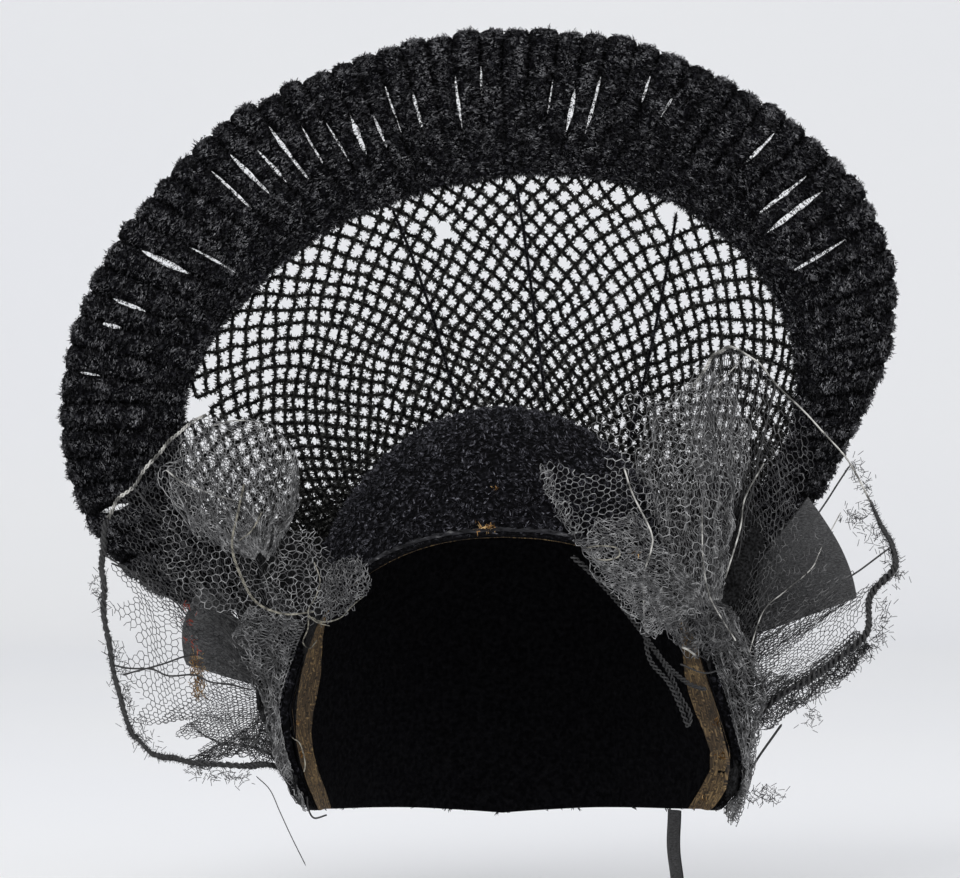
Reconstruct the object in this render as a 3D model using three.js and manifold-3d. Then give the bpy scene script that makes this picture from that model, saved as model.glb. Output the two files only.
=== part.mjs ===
// Folk costume bonnet: a black chenille cap with an upright wheel of net, a thick rim of chenille
// cords, wire-edged tulle wings with gathered rosettes at the ears, and crepe ribbons.
// Millimetres. +X is to the right as seen from in front, +Y is backwards and +Z is up.
// The origin is where the crown of a head touches the inside of the cap.
import * as THREE from 'three';
import { mergeVertices } from 'three/addons/utils/BufferGeometryUtils.js';
import Module from 'manifold-3d';

const wasm = await Module();
wasm.setup();

// The hollow for the head
const headHalfWidth = 78;
const headHalfDepth = 95;
const crownHeight = 100;
const capDepth = 172;
const flapFlare = 17;

// Walls and clearances
const liningWall = 1.4;
const coverWall = 3.6;
const gap = 0.3;
const rimRelief = 0.9;
const tulleWall = 1;
const crepeWall = 1.2;

// The wheel
const wheelRadius = 176;
const wheelMiddleAcross = -1.3;
const wheelMiddleUp = -4.2;
const wheelSeatBack = 8;
const netLean = 12;
const rimLean = 9;
const wheelYaw = 5;
const netWall = 2;
const netAcross = 37;
const netUp = 7;
const netHole = 0.72;
const ribWire = 0.8;
const ribStart = 0.04;
const ribEnd = 0.975;

// The rim's chenille cords
const rimCords = 64;
const cordCrest = 6.5;
const cordValley = 3.4;
const cordLump = 2;
const slitWidth = 3.2;

// Wings and rosettes at the ears
const wingReach = 100;
const wingWire = 1.2;
const spokeWire = 0.8;
const wingFold = 3.5;
const wingRings = 4;
const wingHubAzimuth = 76;
const wingHubDrop = 0.51;
const knotWidth = 7;
const knotHeight = 9;
const rosetteFold = 3;
const rosetteRings = 3;
const drapeClearance = 2.2;
const ruffleReach = 13.5;
const ruffleFlare = 5.25;
const ruffleWave = 3;

// Crepe ribbons
const ribbonReach = 68;
const ribbonWidth = 40;
const ribbonPinch = 0.25;
const ribbonForward = 0.22;
const loopDropStep = 0.03;
const loopFirstSeat = 94;
const loopLastSeat = 100;
const tailWidth = 11;
const tailLength = 42;
const tailWave = 2;
const tailAzimuth = 118;
const tailSpread = 4;

// The cap's hem from the middle of the brow (0) round either side to the nape (180 degrees):
// how far it lies below the crown, as a share of capDepth.
const hem = [
  { azimuth: 0, drop: 0.275 },
  { azimuth: 13, drop: 0.28 },
  { azimuth: 26, drop: 0.297 },
  { azimuth: 39, drop: 0.33 },
  { azimuth: 52, drop: 0.378 },
  { azimuth: 64, drop: 0.43 },
  { azimuth: 74, drop: 0.49 },
  { azimuth: 80, drop: 0.57 },
  { azimuth: 84, drop: 0.7 },
  { azimuth: 88, drop: 0.86 },
  { azimuth: 94, drop: 0.94 },
  { azimuth: 106, drop: 0.955 },
  { azimuth: 120, drop: 0.965 },
  { azimuth: 134, drop: 0.972 },
  { azimuth: 150, drop: 0.98 },
  { azimuth: 165, drop: 0.99 },
  { azimuth: 180, drop: 1 },
];

// How far the ear flaps stand out, as shares of flapFlare, down the cap's depth
const flare = [
  { drop: 0.44, left: 0, right: 0 },
  { drop: 0.58, left: 0.3, right: 0.25 },
  { drop: 0.72, left: 0.6, right: 0.7 },
  { drop: 0.85, left: 0.3, right: 1 },
  { drop: 0.94, left: 0, right: 0.6 },
  { drop: 1.02, left: -0.1, right: 0.1 },
];
const flareFront = 92;
const flareBack = 140;

// The rows of the hem's table between which a ruffle is sewn, and its pleats to each row
const ruffle = { firstRow: 6, lastRow: 10, pleats: 6 };

// Where a wing's gathers meet the cap's flap, from the top (0) down to the tip (1)
const flapLine = [
  { along: 0, azimuth: 76, drop: 0.5 },
  { along: 0.35, azimuth: 84, drop: 0.62 },
  { along: 0.7, azimuth: 90, drop: 0.76 },
  { along: 1, azimuth: 94, drop: 0.86 },
];

// The wheel by its turn from upright, in degrees: the rim's outer and inner edge as shares of
// wheelRadius, and where the net springs from, as the turn over the cap's ridge
const wheel = [
  { turn: -124, outer: 0.79, inner: 0.57, seat: -64 },
  { turn: -112, outer: 0.94, inner: 0.7, seat: -60.5 },
  { turn: -98, outer: 1.025, inner: 0.752, seat: -56 },
  { turn: -80, outer: 1.045, inner: 0.738, seat: -49 },
  { turn: -60, outer: 1.01, inner: 0.668, seat: -39 },
  { turn: -40, outer: 0.982, inner: 0.623, seat: -24 },
  { turn: -20, outer: 0.952, inner: 0.594, seat: -8 },
  { turn: 0, outer: 0.957, inner: 0.602, seat: 8 },
  { turn: 20, outer: 0.985, inner: 0.64, seat: 23 },
  { turn: 40, outer: 1.016, inner: 0.688, seat: 37 },
  { turn: 60, outer: 1.046, inner: 0.727, seat: 46 },
  { turn: 75, outer: 0.988, inner: 0.728, seat: 51.5 },
  { turn: 90, outer: 0.86, inner: 0.695, seat: 56 },
  { turn: 105, outer: 0.77, inner: 0.62, seat: 60 },
  { turn: 118, outer: 0.7, inner: 0.53, seat: 63 },
];

// The rim from its inner edge (0) to its outer edge (1): how thick its cords are, as a share of
// their crest or valley
const rimSection = [
  { share: 0, bulk: 0.7 },
  { share: 0.35, bulk: 1 },
  { share: 0.75, bulk: 0.9 },
  { share: 1, bulk: 0.5 },
];

// Open slits between the rim's cords: the turn in degrees, and the shares of the rim's width
// between which each one is open
const slits = [
  { turn: -101, from: 0.58, to: 0.85 },
  { turn: -82, from: 0.72, to: 0.9 },
  { turn: -74, from: 0.62, to: 0.82 },
  { turn: -70, from: 0.55, to: 0.82 },
  { turn: -64, from: 0.46, to: 0.82 },
  { turn: -60, from: 0.2, to: 0.57 },
  { turn: -50, from: 0.42, to: 0.8 },
  { turn: -46, from: 0.45, to: 0.8 },
  { turn: -42, from: 0.45, to: 0.7 },
  { turn: -38, from: 0.34, to: 0.82 },
  { turn: -34, from: 0.4, to: 0.7 },
  { turn: -30, from: 0.38, to: 0.65 },
  { turn: -26, from: 0.36, to: 0.66 },
  { turn: -21.5, from: 0.35, to: 0.6 },
  { turn: -17, from: 0.45, to: 0.78 },
  { turn: -13, from: 0.4, to: 0.68 },
  { turn: -8.5, from: 0.35, to: 0.74 },
  { turn: -3, from: 0.55, to: 0.77 },
  { turn: 8, from: 0.42, to: 0.65 },
  { turn: 12, from: 0.3, to: 0.6 },
  { turn: 16.5, from: 0.33, to: 0.72 },
  { turn: 24.5, from: 0.6, to: 0.83 },
  { turn: 29, from: 0.55, to: 0.74 },
  { turn: 42.5, from: 0.55, to: 0.85 },
  { turn: 50.5, from: 0.28, to: 0.78 },
  { turn: 55, from: 0.25, to: 0.75 },
  { turn: 60.5, from: 0.21, to: 0.72 },
];

// Thin wires that run up the front of the net: turns in degrees at the cap, halfway and at the rim
const netRibs = [
  { name: 'net_rib_left', foot: -26, middle: -24.5, head: -26 },
  { name: 'net_rib_middle', foot: 6, middle: 4.7, head: 3.5 },
  { name: 'net_rib_right', foot: 41, middle: 40, head: 38.5 },
];

// The wings' wires, by turn and reach from the wing's hub (reach and lift are shares of wingReach,
// lift is how far back the wire lies)
const wingLeftWire = [
  { turn: -24.5, reach: 0.98, lift: 0.24 },
  { turn: -32, reach: 0.97, lift: 0.21 },
  { turn: -39, reach: 0.945, lift: 0.18 },
  { turn: -50, reach: 0.93, lift: 0.15 },
  { turn: -58, reach: 0.935, lift: 0.12 },
  { turn: -69, reach: 0.89, lift: 0.09 },
  { turn: -81, reach: 0.83, lift: 0.05 },
  { turn: -100, reach: 0.795, lift: 0.02 },
  { turn: -116, reach: 0.81, lift: 0 },
  { turn: -123, reach: 0.81, lift: 0.01 },
  { turn: -131, reach: 0.79, lift: 0.03 },
  { turn: -137, reach: 0.73, lift: 0.07 },
  { turn: -154, reach: 0.63, lift: 0.17 },
  { turn: -166, reach: 0.58, lift: 0.23 },
  { turn: -175, reach: 0.64, lift: 0.27 },
];
const wingRightWire = [
  { turn: -2, reach: 1, lift: 0.3 },
  { turn: 2, reach: 1.11, lift: 0.28 },
  { turn: 4, reach: 1.16, lift: 0.27 },
  { turn: 6.5, reach: 1.18, lift: 0.26 },
  { turn: 11, reach: 1.15, lift: 0.25 },
  { turn: 17, reach: 1.07, lift: 0.24 },
  { turn: 29, reach: 0.975, lift: 0.2 },
  { turn: 42, reach: 0.925, lift: 0.15 },
  { turn: 58, reach: 0.86, lift: 0.1 },
  { turn: 66, reach: 0.855, lift: 0.07 },
  { turn: 72, reach: 0.82, lift: 0.05 },
  { turn: 79, reach: 0.7, lift: 0.03 },
  { turn: 91, reach: 0.67, lift: 0.03 },
  { turn: 104, reach: 0.545, lift: 0.05 },
  { turn: 118, reach: 0.46, lift: 0.09 },
  { turn: 145, reach: 0.43, lift: 0.2 },
  { turn: 164, reach: 0.6, lift: 0.28 },
];

// The rosettes' ragged edges, by turn and reach from their hub, as shares of wingReach
const rosetteLeftEdge = [
  { turn: 62, reach: 0.26, lift: -0.1 },
  { turn: 38, reach: 0.3, lift: -0.1 },
  { turn: 14, reach: 0.36, lift: -0.02 },
  { turn: -6, reach: 0.52, lift: 0.05 },
  { turn: -20, reach: 0.76, lift: 0.11 },
  { turn: -34, reach: 0.84, lift: 0.1 },
  { turn: -48, reach: 0.78, lift: 0.05 },
  { turn: -60, reach: 0.68, lift: 0.02 },
  { turn: -74, reach: 0.5, lift: 0 },
  { turn: -92, reach: 0.34, lift: -0.04 },
  { turn: -118, reach: 0.22, lift: -0.06 },
];
const rosetteRightEdge = [
  { turn: -118, reach: 0.36, lift: -0.3 },
  { turn: -90, reach: 0.46, lift: -0.42 },
  { turn: -75, reach: 0.6, lift: -0.5 },
  { turn: -63, reach: 0.71, lift: -0.5 },
  { turn: -52, reach: 0.83, lift: -0.4 },
  { turn: -45, reach: 0.78, lift: -0.32 },
  { turn: -38, reach: 0.7, lift: -0.24 },
  { turn: -30, reach: 0.9, lift: -0.12 },
  { turn: -18, reach: 0.89, lift: -0.02 },
  { turn: -6, reach: 0.85, lift: 0.03 },
  { turn: 8, reach: 0.78, lift: 0.06 },
  { turn: 24, reach: 0.56, lift: 0.03 },
];

const degrees = Math.PI / 180;
const liningOuter = liningWall;
const coverInner = liningOuter + gap;
const coverOuter = coverInner + coverWall;

function vector(x, y, z) {
  return new THREE.Vector3(x, y, z);
}

function mix(a, b, share) {
  return a + (b - a) * share;
}

function smoothStep(from, to, value) {
  return THREE.MathUtils.smoothstep(value, from, to);
}

// A smooth curve through a table's rows: the value of one column where another has this value
function readTable(rows, key, column, value) {
  const last = rows.length - 1;
  const held = THREE.MathUtils.clamp(value, rows[0][key], rows[last][key]);
  let at = 0;
  while (at < last - 1 && rows[at + 1][key] < held) at += 1;
  const slope = (k) => {
    const before = rows[Math.max(k - 1, 0)];
    const after = rows[Math.min(k + 1, last)];
    return (after[column] - before[column]) / (after[key] - before[key]);
  };
  const [low, high] = [rows[at], rows[at + 1]];
  const width = high[key] - low[key];
  const s = (held - low[key]) / width;
  const bend = s * s * (3 - 2 * s);
  const lowPull = s * (1 - s) * (1 - s) * width * slope(at);
  const highPull = s * s * (s - 1) * width * slope(at + 1);
  return mix(low[column], high[column], bend) + lowPull + highPull;
}

// A closed mesh between two layers of points that share their triangles, walled in at open edges
function closedBetween(front, back, triangles) {
  const position = [];
  for (const p of [...front, ...back]) position.push(p.x, p.y, p.z);
  const count = front.length;
  const index = [];
  const used = new Set();
  for (const [a, b, c] of triangles) {
    index.push(a, b, c, c + count, b + count, a + count);
    used.add(`${a} ${b}`).add(`${b} ${c}`).add(`${c} ${a}`);
  }
  for (const edge of used) {
    const [a, b] = edge.split(' ').map(Number);
    if (used.has(`${b} ${a}`)) continue;
    index.push(b, a, a + count, b, a + count, b + count);
  }
  const geometry = new THREE.BufferGeometry();
  geometry.setAttribute('position', new THREE.Float32BufferAttribute(position, 3));
  geometry.setIndex(index);
  return geometry;
}

// A wall of this thickness to both sides of a sheet of points; halfThickness may be a list
function wallAlong(points, triangles, halfThickness) {
  const normals = points.map(() => vector(0, 0, 0));
  for (const [a, b, c] of triangles) {
    const side = points[b].clone().sub(points[a]);
    const normal = side.cross(points[c].clone().sub(points[a]));
    for (const k of [a, b, c]) normals[k].add(normal);
  }
  normals.forEach((normal) => normal.normalize());
  const half = (k) => (Array.isArray(halfThickness) ? halfThickness[k] : halfThickness);
  const front = points.map((p, k) => p.clone().addScaledVector(normals[k], half(k)));
  const back = points.map((p, k) => p.clone().addScaledVector(normals[k], -half(k)));
  return closedBetween(front, back, triangles);
}

// The triangles of a grid of points stored row by row within each column; keep picks the cells
function gridTriangles(columns, rows, keep = () => true) {
  const triangles = [];
  const at = (c, r) => c * (rows + 1) + r;
  for (let c = 0; c < columns; c += 1) {
    for (let r = 0; r < rows; r += 1) {
      if (!keep(c, r)) continue;
      triangles.push([at(c, r), at(c + 1, r), at(c + 1, r + 1)]);
      triangles.push([at(c, r), at(c + 1, r + 1), at(c, r + 1)]);
    }
  }
  return triangles;
}

function gridPoints(columns, rows, surface) {
  const points = [];
  for (let c = 0; c <= columns; c += 1) {
    for (let r = 0; r <= rows; r += 1) points.push(surface(c / columns, r / rows));
  }
  return points;
}

function sheet(columns, rows, surface, halfThickness, keep) {
  const points = gridPoints(columns, rows, surface);
  return wallAlong(points, gridTriangles(columns, rows, keep), halfThickness);
}

// A wire of round section along a smooth curve through the points
function wire(points, radius, steps) {
  const section = new THREE.Shape();
  const sides = 6;
  for (let k = 0; k < sides; k += 1) {
    const turn = (k / sides) * 2 * Math.PI;
    const move = k ? 'lineTo' : 'moveTo';
    section[move](radius * Math.cos(turn), radius * Math.sin(turn));
  }
  const extrudePath = new THREE.CatmullRomCurve3(points);
  return new THREE.ExtrudeGeometry(section, { steps, extrudePath, bevelEnabled: false });
}

function solidOf(geometry) {
  const bare = geometry.clone();
  bare.deleteAttribute('normal');
  bare.deleteAttribute('uv');
  const merged = mergeVertices(bare, 1e-4);
  const vertProperties = new Float32Array(merged.attributes.position.array);
  const triVerts = new Uint32Array(merged.index.array);
  return new wasm.Manifold(new wasm.Mesh({ numProp: 3, vertProperties, triVerts }));
}

// Pieces that are soldered or sewn into one
function joined(geometries) {
  let whole = solidOf(geometries[0]);
  for (const geometry of geometries.slice(1)) whole = whole.add(solidOf(geometry));
  const { vertProperties, triVerts } = whole.getMesh();
  const geometry = new THREE.BufferGeometry();
  geometry.setAttribute('position', new THREE.BufferAttribute(vertProperties, 3));
  geometry.setIndex(new THREE.BufferAttribute(triVerts, 1));
  return geometry;
}

const bonnet = new THREE.Group();

function addPiece(name, geometry, { color, roughness = 0.9, metalness = 0 }) {
  const material = new THREE.MeshStandardMaterial({ color, roughness, metalness });
  const piece = new THREE.Mesh(geometry, material);
  piece.name = name;
  bonnet.add(piece);
}

const chenille = { color: 0x121316, roughness: 0.95 };
const straw = { color: 0x6b4a26, roughness: 0.8 };
const tulle = { color: 0x3a3b3e, roughness: 0.7 };
const crepe = { color: 0x303134, roughness: 0.85 };
const wrappedWire = { color: 0x1b1b1d, roughness: 0.6 };

// The cap

// How far the flaps push a point of the cap outwards
function flapPush(azimuth, drop) {
  const side = azimuth > 0 ? 'right' : 'left';
  const share = readTable(flare, 'drop', side, drop);
  return flapFlare * share * (1 - smoothStep(flareFront, flareBack, Math.abs(azimuth)));
}

// A point of the head's shape this far outside the hollow; azimuth is in degrees, 0 at the brow
// and positive to the right, and drop is the depth below the crown as a share of capDepth
function headPoint(azimuth, drop, offset) {
  const depth = (drop * capDepth) / crownHeight;
  const sweep = Math.acos(THREE.MathUtils.clamp(1 - depth, 0, 1));
  const ring = Math.sin(sweep);
  const upright = Math.max(depth - 1, 0) * crownHeight;
  const turn = azimuth * degrees;
  const push = flapPush(azimuth, drop) * Math.sign(azimuth);
  return vector(
    (headHalfWidth + offset) * ring * Math.sin(turn) + push,
    -(headHalfDepth + offset) * ring * Math.cos(turn),
    (crownHeight + offset) * Math.cos(sweep) - crownHeight - upright,
  );
}

// The cap's columns of points run from the crown down to the hem
const capRows = [0.16, 0.32, 0.48, 0.64, 0.8, 0.91, 1];

function capColumns() {
  const right = hem.map((row) => ({ azimuth: row.azimuth, drop: row.drop }));
  const left = hem.slice(1, -1).map((row) => ({ azimuth: -row.azimuth, drop: row.drop }));
  return [...right, ...left.reverse()];
}

// Shares of a column are spread by the arc that they sweep, so that the dome is even
function sweptDrop(share, hemDrop) {
  const arc = (drop) => {
    const depth = (drop * capDepth) / crownHeight;
    return depth < 1 ? Math.acos(1 - depth) : Math.PI / 2 + depth - 1;
  };
  const swept = share * arc(hemDrop);
  const depth = swept < Math.PI / 2 ? 1 - Math.cos(swept) : swept - Math.PI / 2 + 1;
  return (depth * crownHeight) / capDepth;
}

function capShell(innerOffset, outerOffset) {
  const columns = capColumns();
  const layer = (offset) => {
    const points = [headPoint(0, 0, offset)];
    for (const { azimuth, drop } of columns) {
      for (const share of capRows) {
        points.push(headPoint(azimuth, sweptDrop(share, drop), offset));
      }
    }
    return points;
  };
  const triangles = [];
  const at = (c, r) => 1 + (c % columns.length) * capRows.length + r;
  columns.forEach((column, c) => {
    triangles.push([0, at(c, 0), at(c + 1, 0)]);
    for (let r = 0; r < capRows.length - 1; r += 1) {
      triangles.push([at(c, r), at(c, r + 1), at(c + 1, r + 1)]);
      triangles.push([at(c, r), at(c + 1, r + 1), at(c + 1, r)]);
    }
  });
  return closedBetween(layer(outerOffset), layer(innerOffset), triangles);
}

addPiece('cap_lining', capShell(0, liningOuter), straw);
addPiece('cap_cover', capShell(coverInner, coverOuter), chenille);

// The wheel

function lean(point, share) {
  const leaning = netLean * Math.min(share, 1) ** 1.5 + rimLean * Math.max(share - 1, 0);
  const yaw = Math.tan(wheelYaw * degrees) * point.x * Math.min(share, 1);
  point.y = wheelSeatBack + leaning + yaw;
  return point;
}

// A point on the cap's ridge, where the wheel springs from, this far above the cap
function ridgePoint(seat, above) {
  const offset = coverOuter + above;
  const level = Math.sqrt(1 - (wheelSeatBack / (headHalfDepth + offset)) ** 2);
  const turn = seat * degrees;
  return vector(
    (headHalfWidth + offset) * level * Math.sin(turn),
    wheelSeatBack,
    (crownHeight + offset) * level * Math.cos(turn) - crownHeight,
  );
}

// A point of the wheel: share runs from 0 at the cap through 1 at the rim's inner edge to 2
function wheelPoint(turn, share) {
  const along = (edge, beyond) => {
    const radius = wheelRadius * readTable(wheel, 'turn', edge, turn) + beyond;
    return vector(
      wheelMiddleAcross + radius * Math.sin(turn * degrees),
      0,
      wheelMiddleUp + radius * Math.cos(turn * degrees),
    );
  };
  if (share > 1) return lean(along('inner', gap + rimRelief).lerp(along('outer', 0), share - 1), share);
  const seat = ridgePoint(readTable(wheel, 'turn', 'seat', turn), gap);
  return lean(seat.lerp(along('inner', 0), share), share);
}

const firstTurn = wheel[0].turn;
const lastTurn = wheel[wheel.length - 1].turn;

// The rim's innermost row counts as rim and not as net
const justOver = 1e-6;

// A lattice of bars with diamond holes: its corners in grid steps, and the triangles between them
function lattice(across, up, hole) {
  const corners = [];
  const triangles = [];
  const known = new Map();
  const corner = (x, y) => {
    const place = [THREE.MathUtils.clamp(x, 0, across), THREE.MathUtils.clamp(y, 0, up)];
    const key = place.map((number) => number.toFixed(3)).join(' ');
    if (!known.has(key)) known.set(key, corners.push(place) - 1);
    return known.get(key);
  };
  const fill = (...places) => {
    const ring = [...new Set(places.map(([x, y]) => corner(x, y)))];
    for (let k = 1; k < ring.length - 1; k += 1) triangles.push([ring[0], ring[k], ring[k + 1]]);
  };
  const bar = 1 - hole;
  for (let i = 0; i <= across; i += 1) {
    for (let j = 0; j <= up; j += 1) {
      const isHole = (i + j) % 2 === 0;
      const inside = i > 0 && j > 0 && i < across && j < up;
      if (isHole && inside) continue;
      const reach = isHole ? hole : bar;
      fill([i - reach, j], [i, j - reach], [i + reach, j], [i, j + reach]);
    }
  }
  for (let i = 0; i < across; i += 1) {
    for (let j = 0; j < up; j += 1) {
      const [low, high] = (i + j) % 2 ? [bar, hole] : [hole, bar];
      fill([i + low, j], [i + 1, j + high], [i + high, j + 1], [i, j + low]);
    }
  }
  return { corners, triangles };
}

function netGeometry() {
  const { corners, triangles } = lattice(netAcross, netUp, netHole);
  const points = corners.map(([x, y]) =>
    wheelPoint(mix(firstTurn, lastTurn, x / netAcross), y / netUp));
  return wallAlong(points, triangles, netWall / 2);
}

addPiece('wheel_net', netGeometry(), chenille);

// A thin wire on the front of the net, bent smoothly through its three turns
function ribGeometry({ foot, middle, head }) {
  const before = netWall / 2 + ribWire + 2 * gap;
  const points = [];
  const bends = 6;
  for (let k = 0; k <= bends; k += 1) {
    const s = mix(ribStart, ribEnd, k / bends);
    const turn = foot * (2 * s - 1) * (s - 1) + middle * 4 * s * (1 - s) + head * s * (2 * s - 1);
    points.push(wheelPoint(turn, s).sub(vector(0, before, 0)));
  }
  return wire(points, ribWire, 2 * bends);
}

for (const rib of netRibs) addPiece(rib.name, ribGeometry(rib), wrappedWire);

// The rim: one crest for each cord, a valley between neighbours, and the valleys' open slits
function rimColumns() {
  const pitch = (lastTurn - firstTurn) / rimCords;
  const columns = [];
  for (let k = 0; k <= rimCords; k += 1) {
    const turn = firstTurn + k * pitch;
    const slit = slits.find((row) => Math.abs(row.turn - turn) <= pitch / 2);
    if (slit && k > 0 && k < rimCords) {
      const half = slitWidth / 2 / (wheelRadius * degrees);
      columns.push({ turn: turn - half, crest: false, slit, opens: true });
      columns.push({ turn: turn + half, crest: false, slit });
    } else {
      columns.push({ turn, crest: false });
    }
    if (k < rimCords) columns.push({ turn: turn + pitch / 2, crest: true });
  }
  return columns;
}

function rimGeometry() {
  const columns = rimColumns();
  const last = rimSection.length - 1;
  const points = [];
  const halves = [];
  for (const { turn, crest, slit } of columns) {
    rimSection.forEach((section, r) => {
      const share = slit ? [0, slit.from, slit.to, 1][r] : section.share;
      const lump = r === last ? (crest ? cordLump : -cordLump) / wheelRadius : 0;
      points.push(wheelPoint(turn, 1 + Math.max(share, justOver) + lump));
      halves.push((crest ? cordCrest : cordValley) * section.bulk);
    });
  }
  const keep = (c, r) => !(columns[c].opens && r === 1);
  return wallAlong(points, gridTriangles(columns.length - 1, last, keep), halves);
}

addPiece('wheel_rim', rimGeometry(), chenille);

// The wings

const left = -1;
const right = 1;

// A point on the flap's outside, this far above it
function flapPoint(side, along, above) {
  const azimuth = side * readTable(flapLine, 'along', 'azimuth', along);
  return headPoint(azimuth, readTable(flapLine, 'along', 'drop', along), coverOuter + above);
}

function wingHub(side) {
  return headPoint(side * wingHubAzimuth, wingHubDrop, coverOuter);
}

function fromHub(hub, { turn, reach, lift }) {
  return vector(
    hub.x + wingReach * reach * Math.sin(turn * degrees),
    hub.y + wingReach * lift,
    hub.z + wingReach * reach * Math.cos(turn * degrees),
  );
}

// A wing's sheet of tulle, which lies just behind its wire: along runs with the wire's rows, and
// out from the flap (0) to the wire (1)
function wingSurface({ side, rows, footEnd }) {
  const hub = wingHub(side);
  const path = new THREE.CatmullRomCurve3(rows.map((row) => fromHub(hub, row)));
  const behind = wingWire + 2 * gap + tulleWall / 2;
  return {
    path,
    point(along, out) {
      const foot = flapPoint(side, along * footEnd, gap + tulleWall);
      const point = foot.lerp(path.getPoint(along), out);
      point.y += behind * out;
      point.y += wingFold * Math.sin(Math.PI * out) * Math.cos(Math.PI * along * (rows.length - 1));
      return point;
    },
  };
}

function wingFrame(surface, rows, spokes) {
  const hoop = wire(surface.path.points, wingWire, 2 * (rows.length - 1));
  const before = tulleWall / 2 + spokeWire + 3 * gap;
  const pieces = spokes.map(({ row, start }) => {
    const along = row / (rows.length - 1);
    const points = [];
    const bends = 4;
    for (let k = 0; k < bends; k += 1) {
      points.push(surface.point(along, mix(start, 1, k / bends)).sub(vector(0, before, 0)));
    }
    points.push(surface.path.getPoint(along).sub(vector(0, spokeWire, 0)));
    return wire(points, spokeWire, bends + 1);
  });
  return joined([hoop, ...pieces]);
}

// Where each wing ends on the flap, its spokes and where its tulle is torn away. The last stretch
// of each wire runs on to the flap's tip without cloth.
const bareRows = 1;
const wings = [
  {
    name: 'left',
    side: left,
    rows: wingLeftWire,
    footEnd: 0.9,
    spokes: [{ row: 3, start: 0.55 }, { row: 5, start: 0.2 }, { row: 7, start: 0.15 }],
    torn: { from: 0.6, to: 0.78, beyond: 0.6 },
  },
  {
    name: 'right',
    side: right,
    rows: wingRightWire,
    footEnd: 0.55,
    spokes: [{ row: 5, start: 0.3 }, { row: 7, start: 0.25 }, { row: 9, start: 0.2 }],
    torn: { from: 1, to: 1, beyond: 1 },
  },
];

for (const wing of wings) {
  const { name, rows, spokes, torn } = wing;
  const surface = wingSurface(wing);
  const columns = rows.length - 1;
  const keep = (c, r) => {
    const along = (c + 0.5) / columns;
    const out = (r + 0.5) / wingRings;
    const isTorn = along > torn.from && along < torn.to && out > torn.beyond;
    return c < columns - bareRows && !isTorn;
  };
  const cloth = sheet(columns, wingRings, surface.point, tulleWall / 2, keep);
  addPiece(`wing_tulle_${name}`, cloth, tulle);
  addPiece(`wing_wire_${name}`, wingFrame(surface, rows, spokes), wrappedWire);
}

// The rosettes

// How far back the cover's outside lies behind this place, or none beside and above the cap
function coverFront(x, z) {
  const across = x / (headHalfWidth + coverOuter);
  const up = Math.max(z + crownHeight, 0) / (crownHeight + coverOuter);
  const left = 1 - across * across - up * up;
  return left > 0 ? -(headHalfDepth + coverOuter) * Math.sqrt(left) : Infinity;
}

// A gathered fan of tulle, its ragged edge given in rows, sewn to a knot on the cap's hem
function rosetteGeometry({ side, rows, knotAzimuth, knotDrop }) {
  const seat = side * knotAzimuth;
  const knot = headPoint(seat, knotDrop, coverOuter + gap + knotWidth);
  const ball = new THREE.SphereGeometry(1, 10, 8).scale(knotWidth, knotWidth, knotHeight);
  ball.translate(knot.x, knot.y, knot.z);
  const edge = new THREE.CatmullRomCurve3(rows.map((row) => fromHub(knot, row)));
  const columns = 2 * (rows.length - 1);
  const start = knotWidth / 2;
  const surface = (along, out) => {
    const rimPoint = edge.getPoint(along);
    const length = rimPoint.distanceTo(knot);
    const point = knot.clone().lerp(rimPoint, mix(start / length, 1, out));
    point.y += rosetteFold * out * Math.cos(Math.PI * along * columns);
    const free = coverFront(point.x, point.z) - drapeClearance - rosetteFold;
    if (out > 0) point.y = Math.min(point.y, free);
    return point;
  };
  return joined([ball, sheet(columns, rosetteRings, surface, tulleWall / 2)]);
}

const rosettes = [
  { name: 'left', side: left, rows: rosetteLeftEdge, knotAzimuth: 66, knotDrop: 0.4 },
  { name: 'right', side: right, rows: rosetteRightEdge, knotAzimuth: 66, knotDrop: 0.4 },
];

for (const rosette of rosettes) {
  addPiece(`rosette_${rosette.name}`, rosetteGeometry(rosette), tulle);
}

// The ruffles along the flaps' front edges

function ruffleGeometry(side) {
  const { firstRow, lastRow, pleats } = ruffle;
  const middle = (coverInner + coverOuter) / 2;
  const hemPoint = (place) => {
    const row = Math.min(Math.floor(place), lastRow - 1);
    const [from, to] = [hem[row], hem[row + 1]].map(({ azimuth, drop }) =>
      headPoint(side * azimuth, drop, middle));
    return { point: from.clone().lerp(to, place - row), run: to.clone().sub(from).normalize() };
  };
  const columns = (lastRow - firstRow) * pleats;
  const surface = (along, out) => {
    const { point, run } = hemPoint(mix(firstRow, lastRow, along));
    const outwards = vector(point.x / headHalfWidth, point.y / headHalfDepth, 0).normalize();
    const away = run.clone().cross(outwards).multiplyScalar(side).normalize();
    const pleat = ruffleWave * Math.cos(Math.PI * along * columns);
    const wall = gap + tulleWall;
    return point
      .addScaledVector(away, wall + ruffleReach * out)
      .addScaledVector(outwards, (ruffleFlare + pleat) * out);
  };
  return sheet(columns, 2, surface, tulleWall / 2);
}

addPiece('ruffle_left', ruffleGeometry(left), tulle);
addPiece('ruffle_right', ruffleGeometry(right), tulle);

// The crepe ribbons

// Loops behind the wings: where each is sewn, which way it points, its reach and width
const loops = [
  { name: 'left', side: left, drop: 0.64, turn: -57, reach: 0.76, width: 0.8 },
  { name: 'right', side: right, drop: 0.53, turn: 54, reach: 1, width: 1.15 },
];

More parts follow.
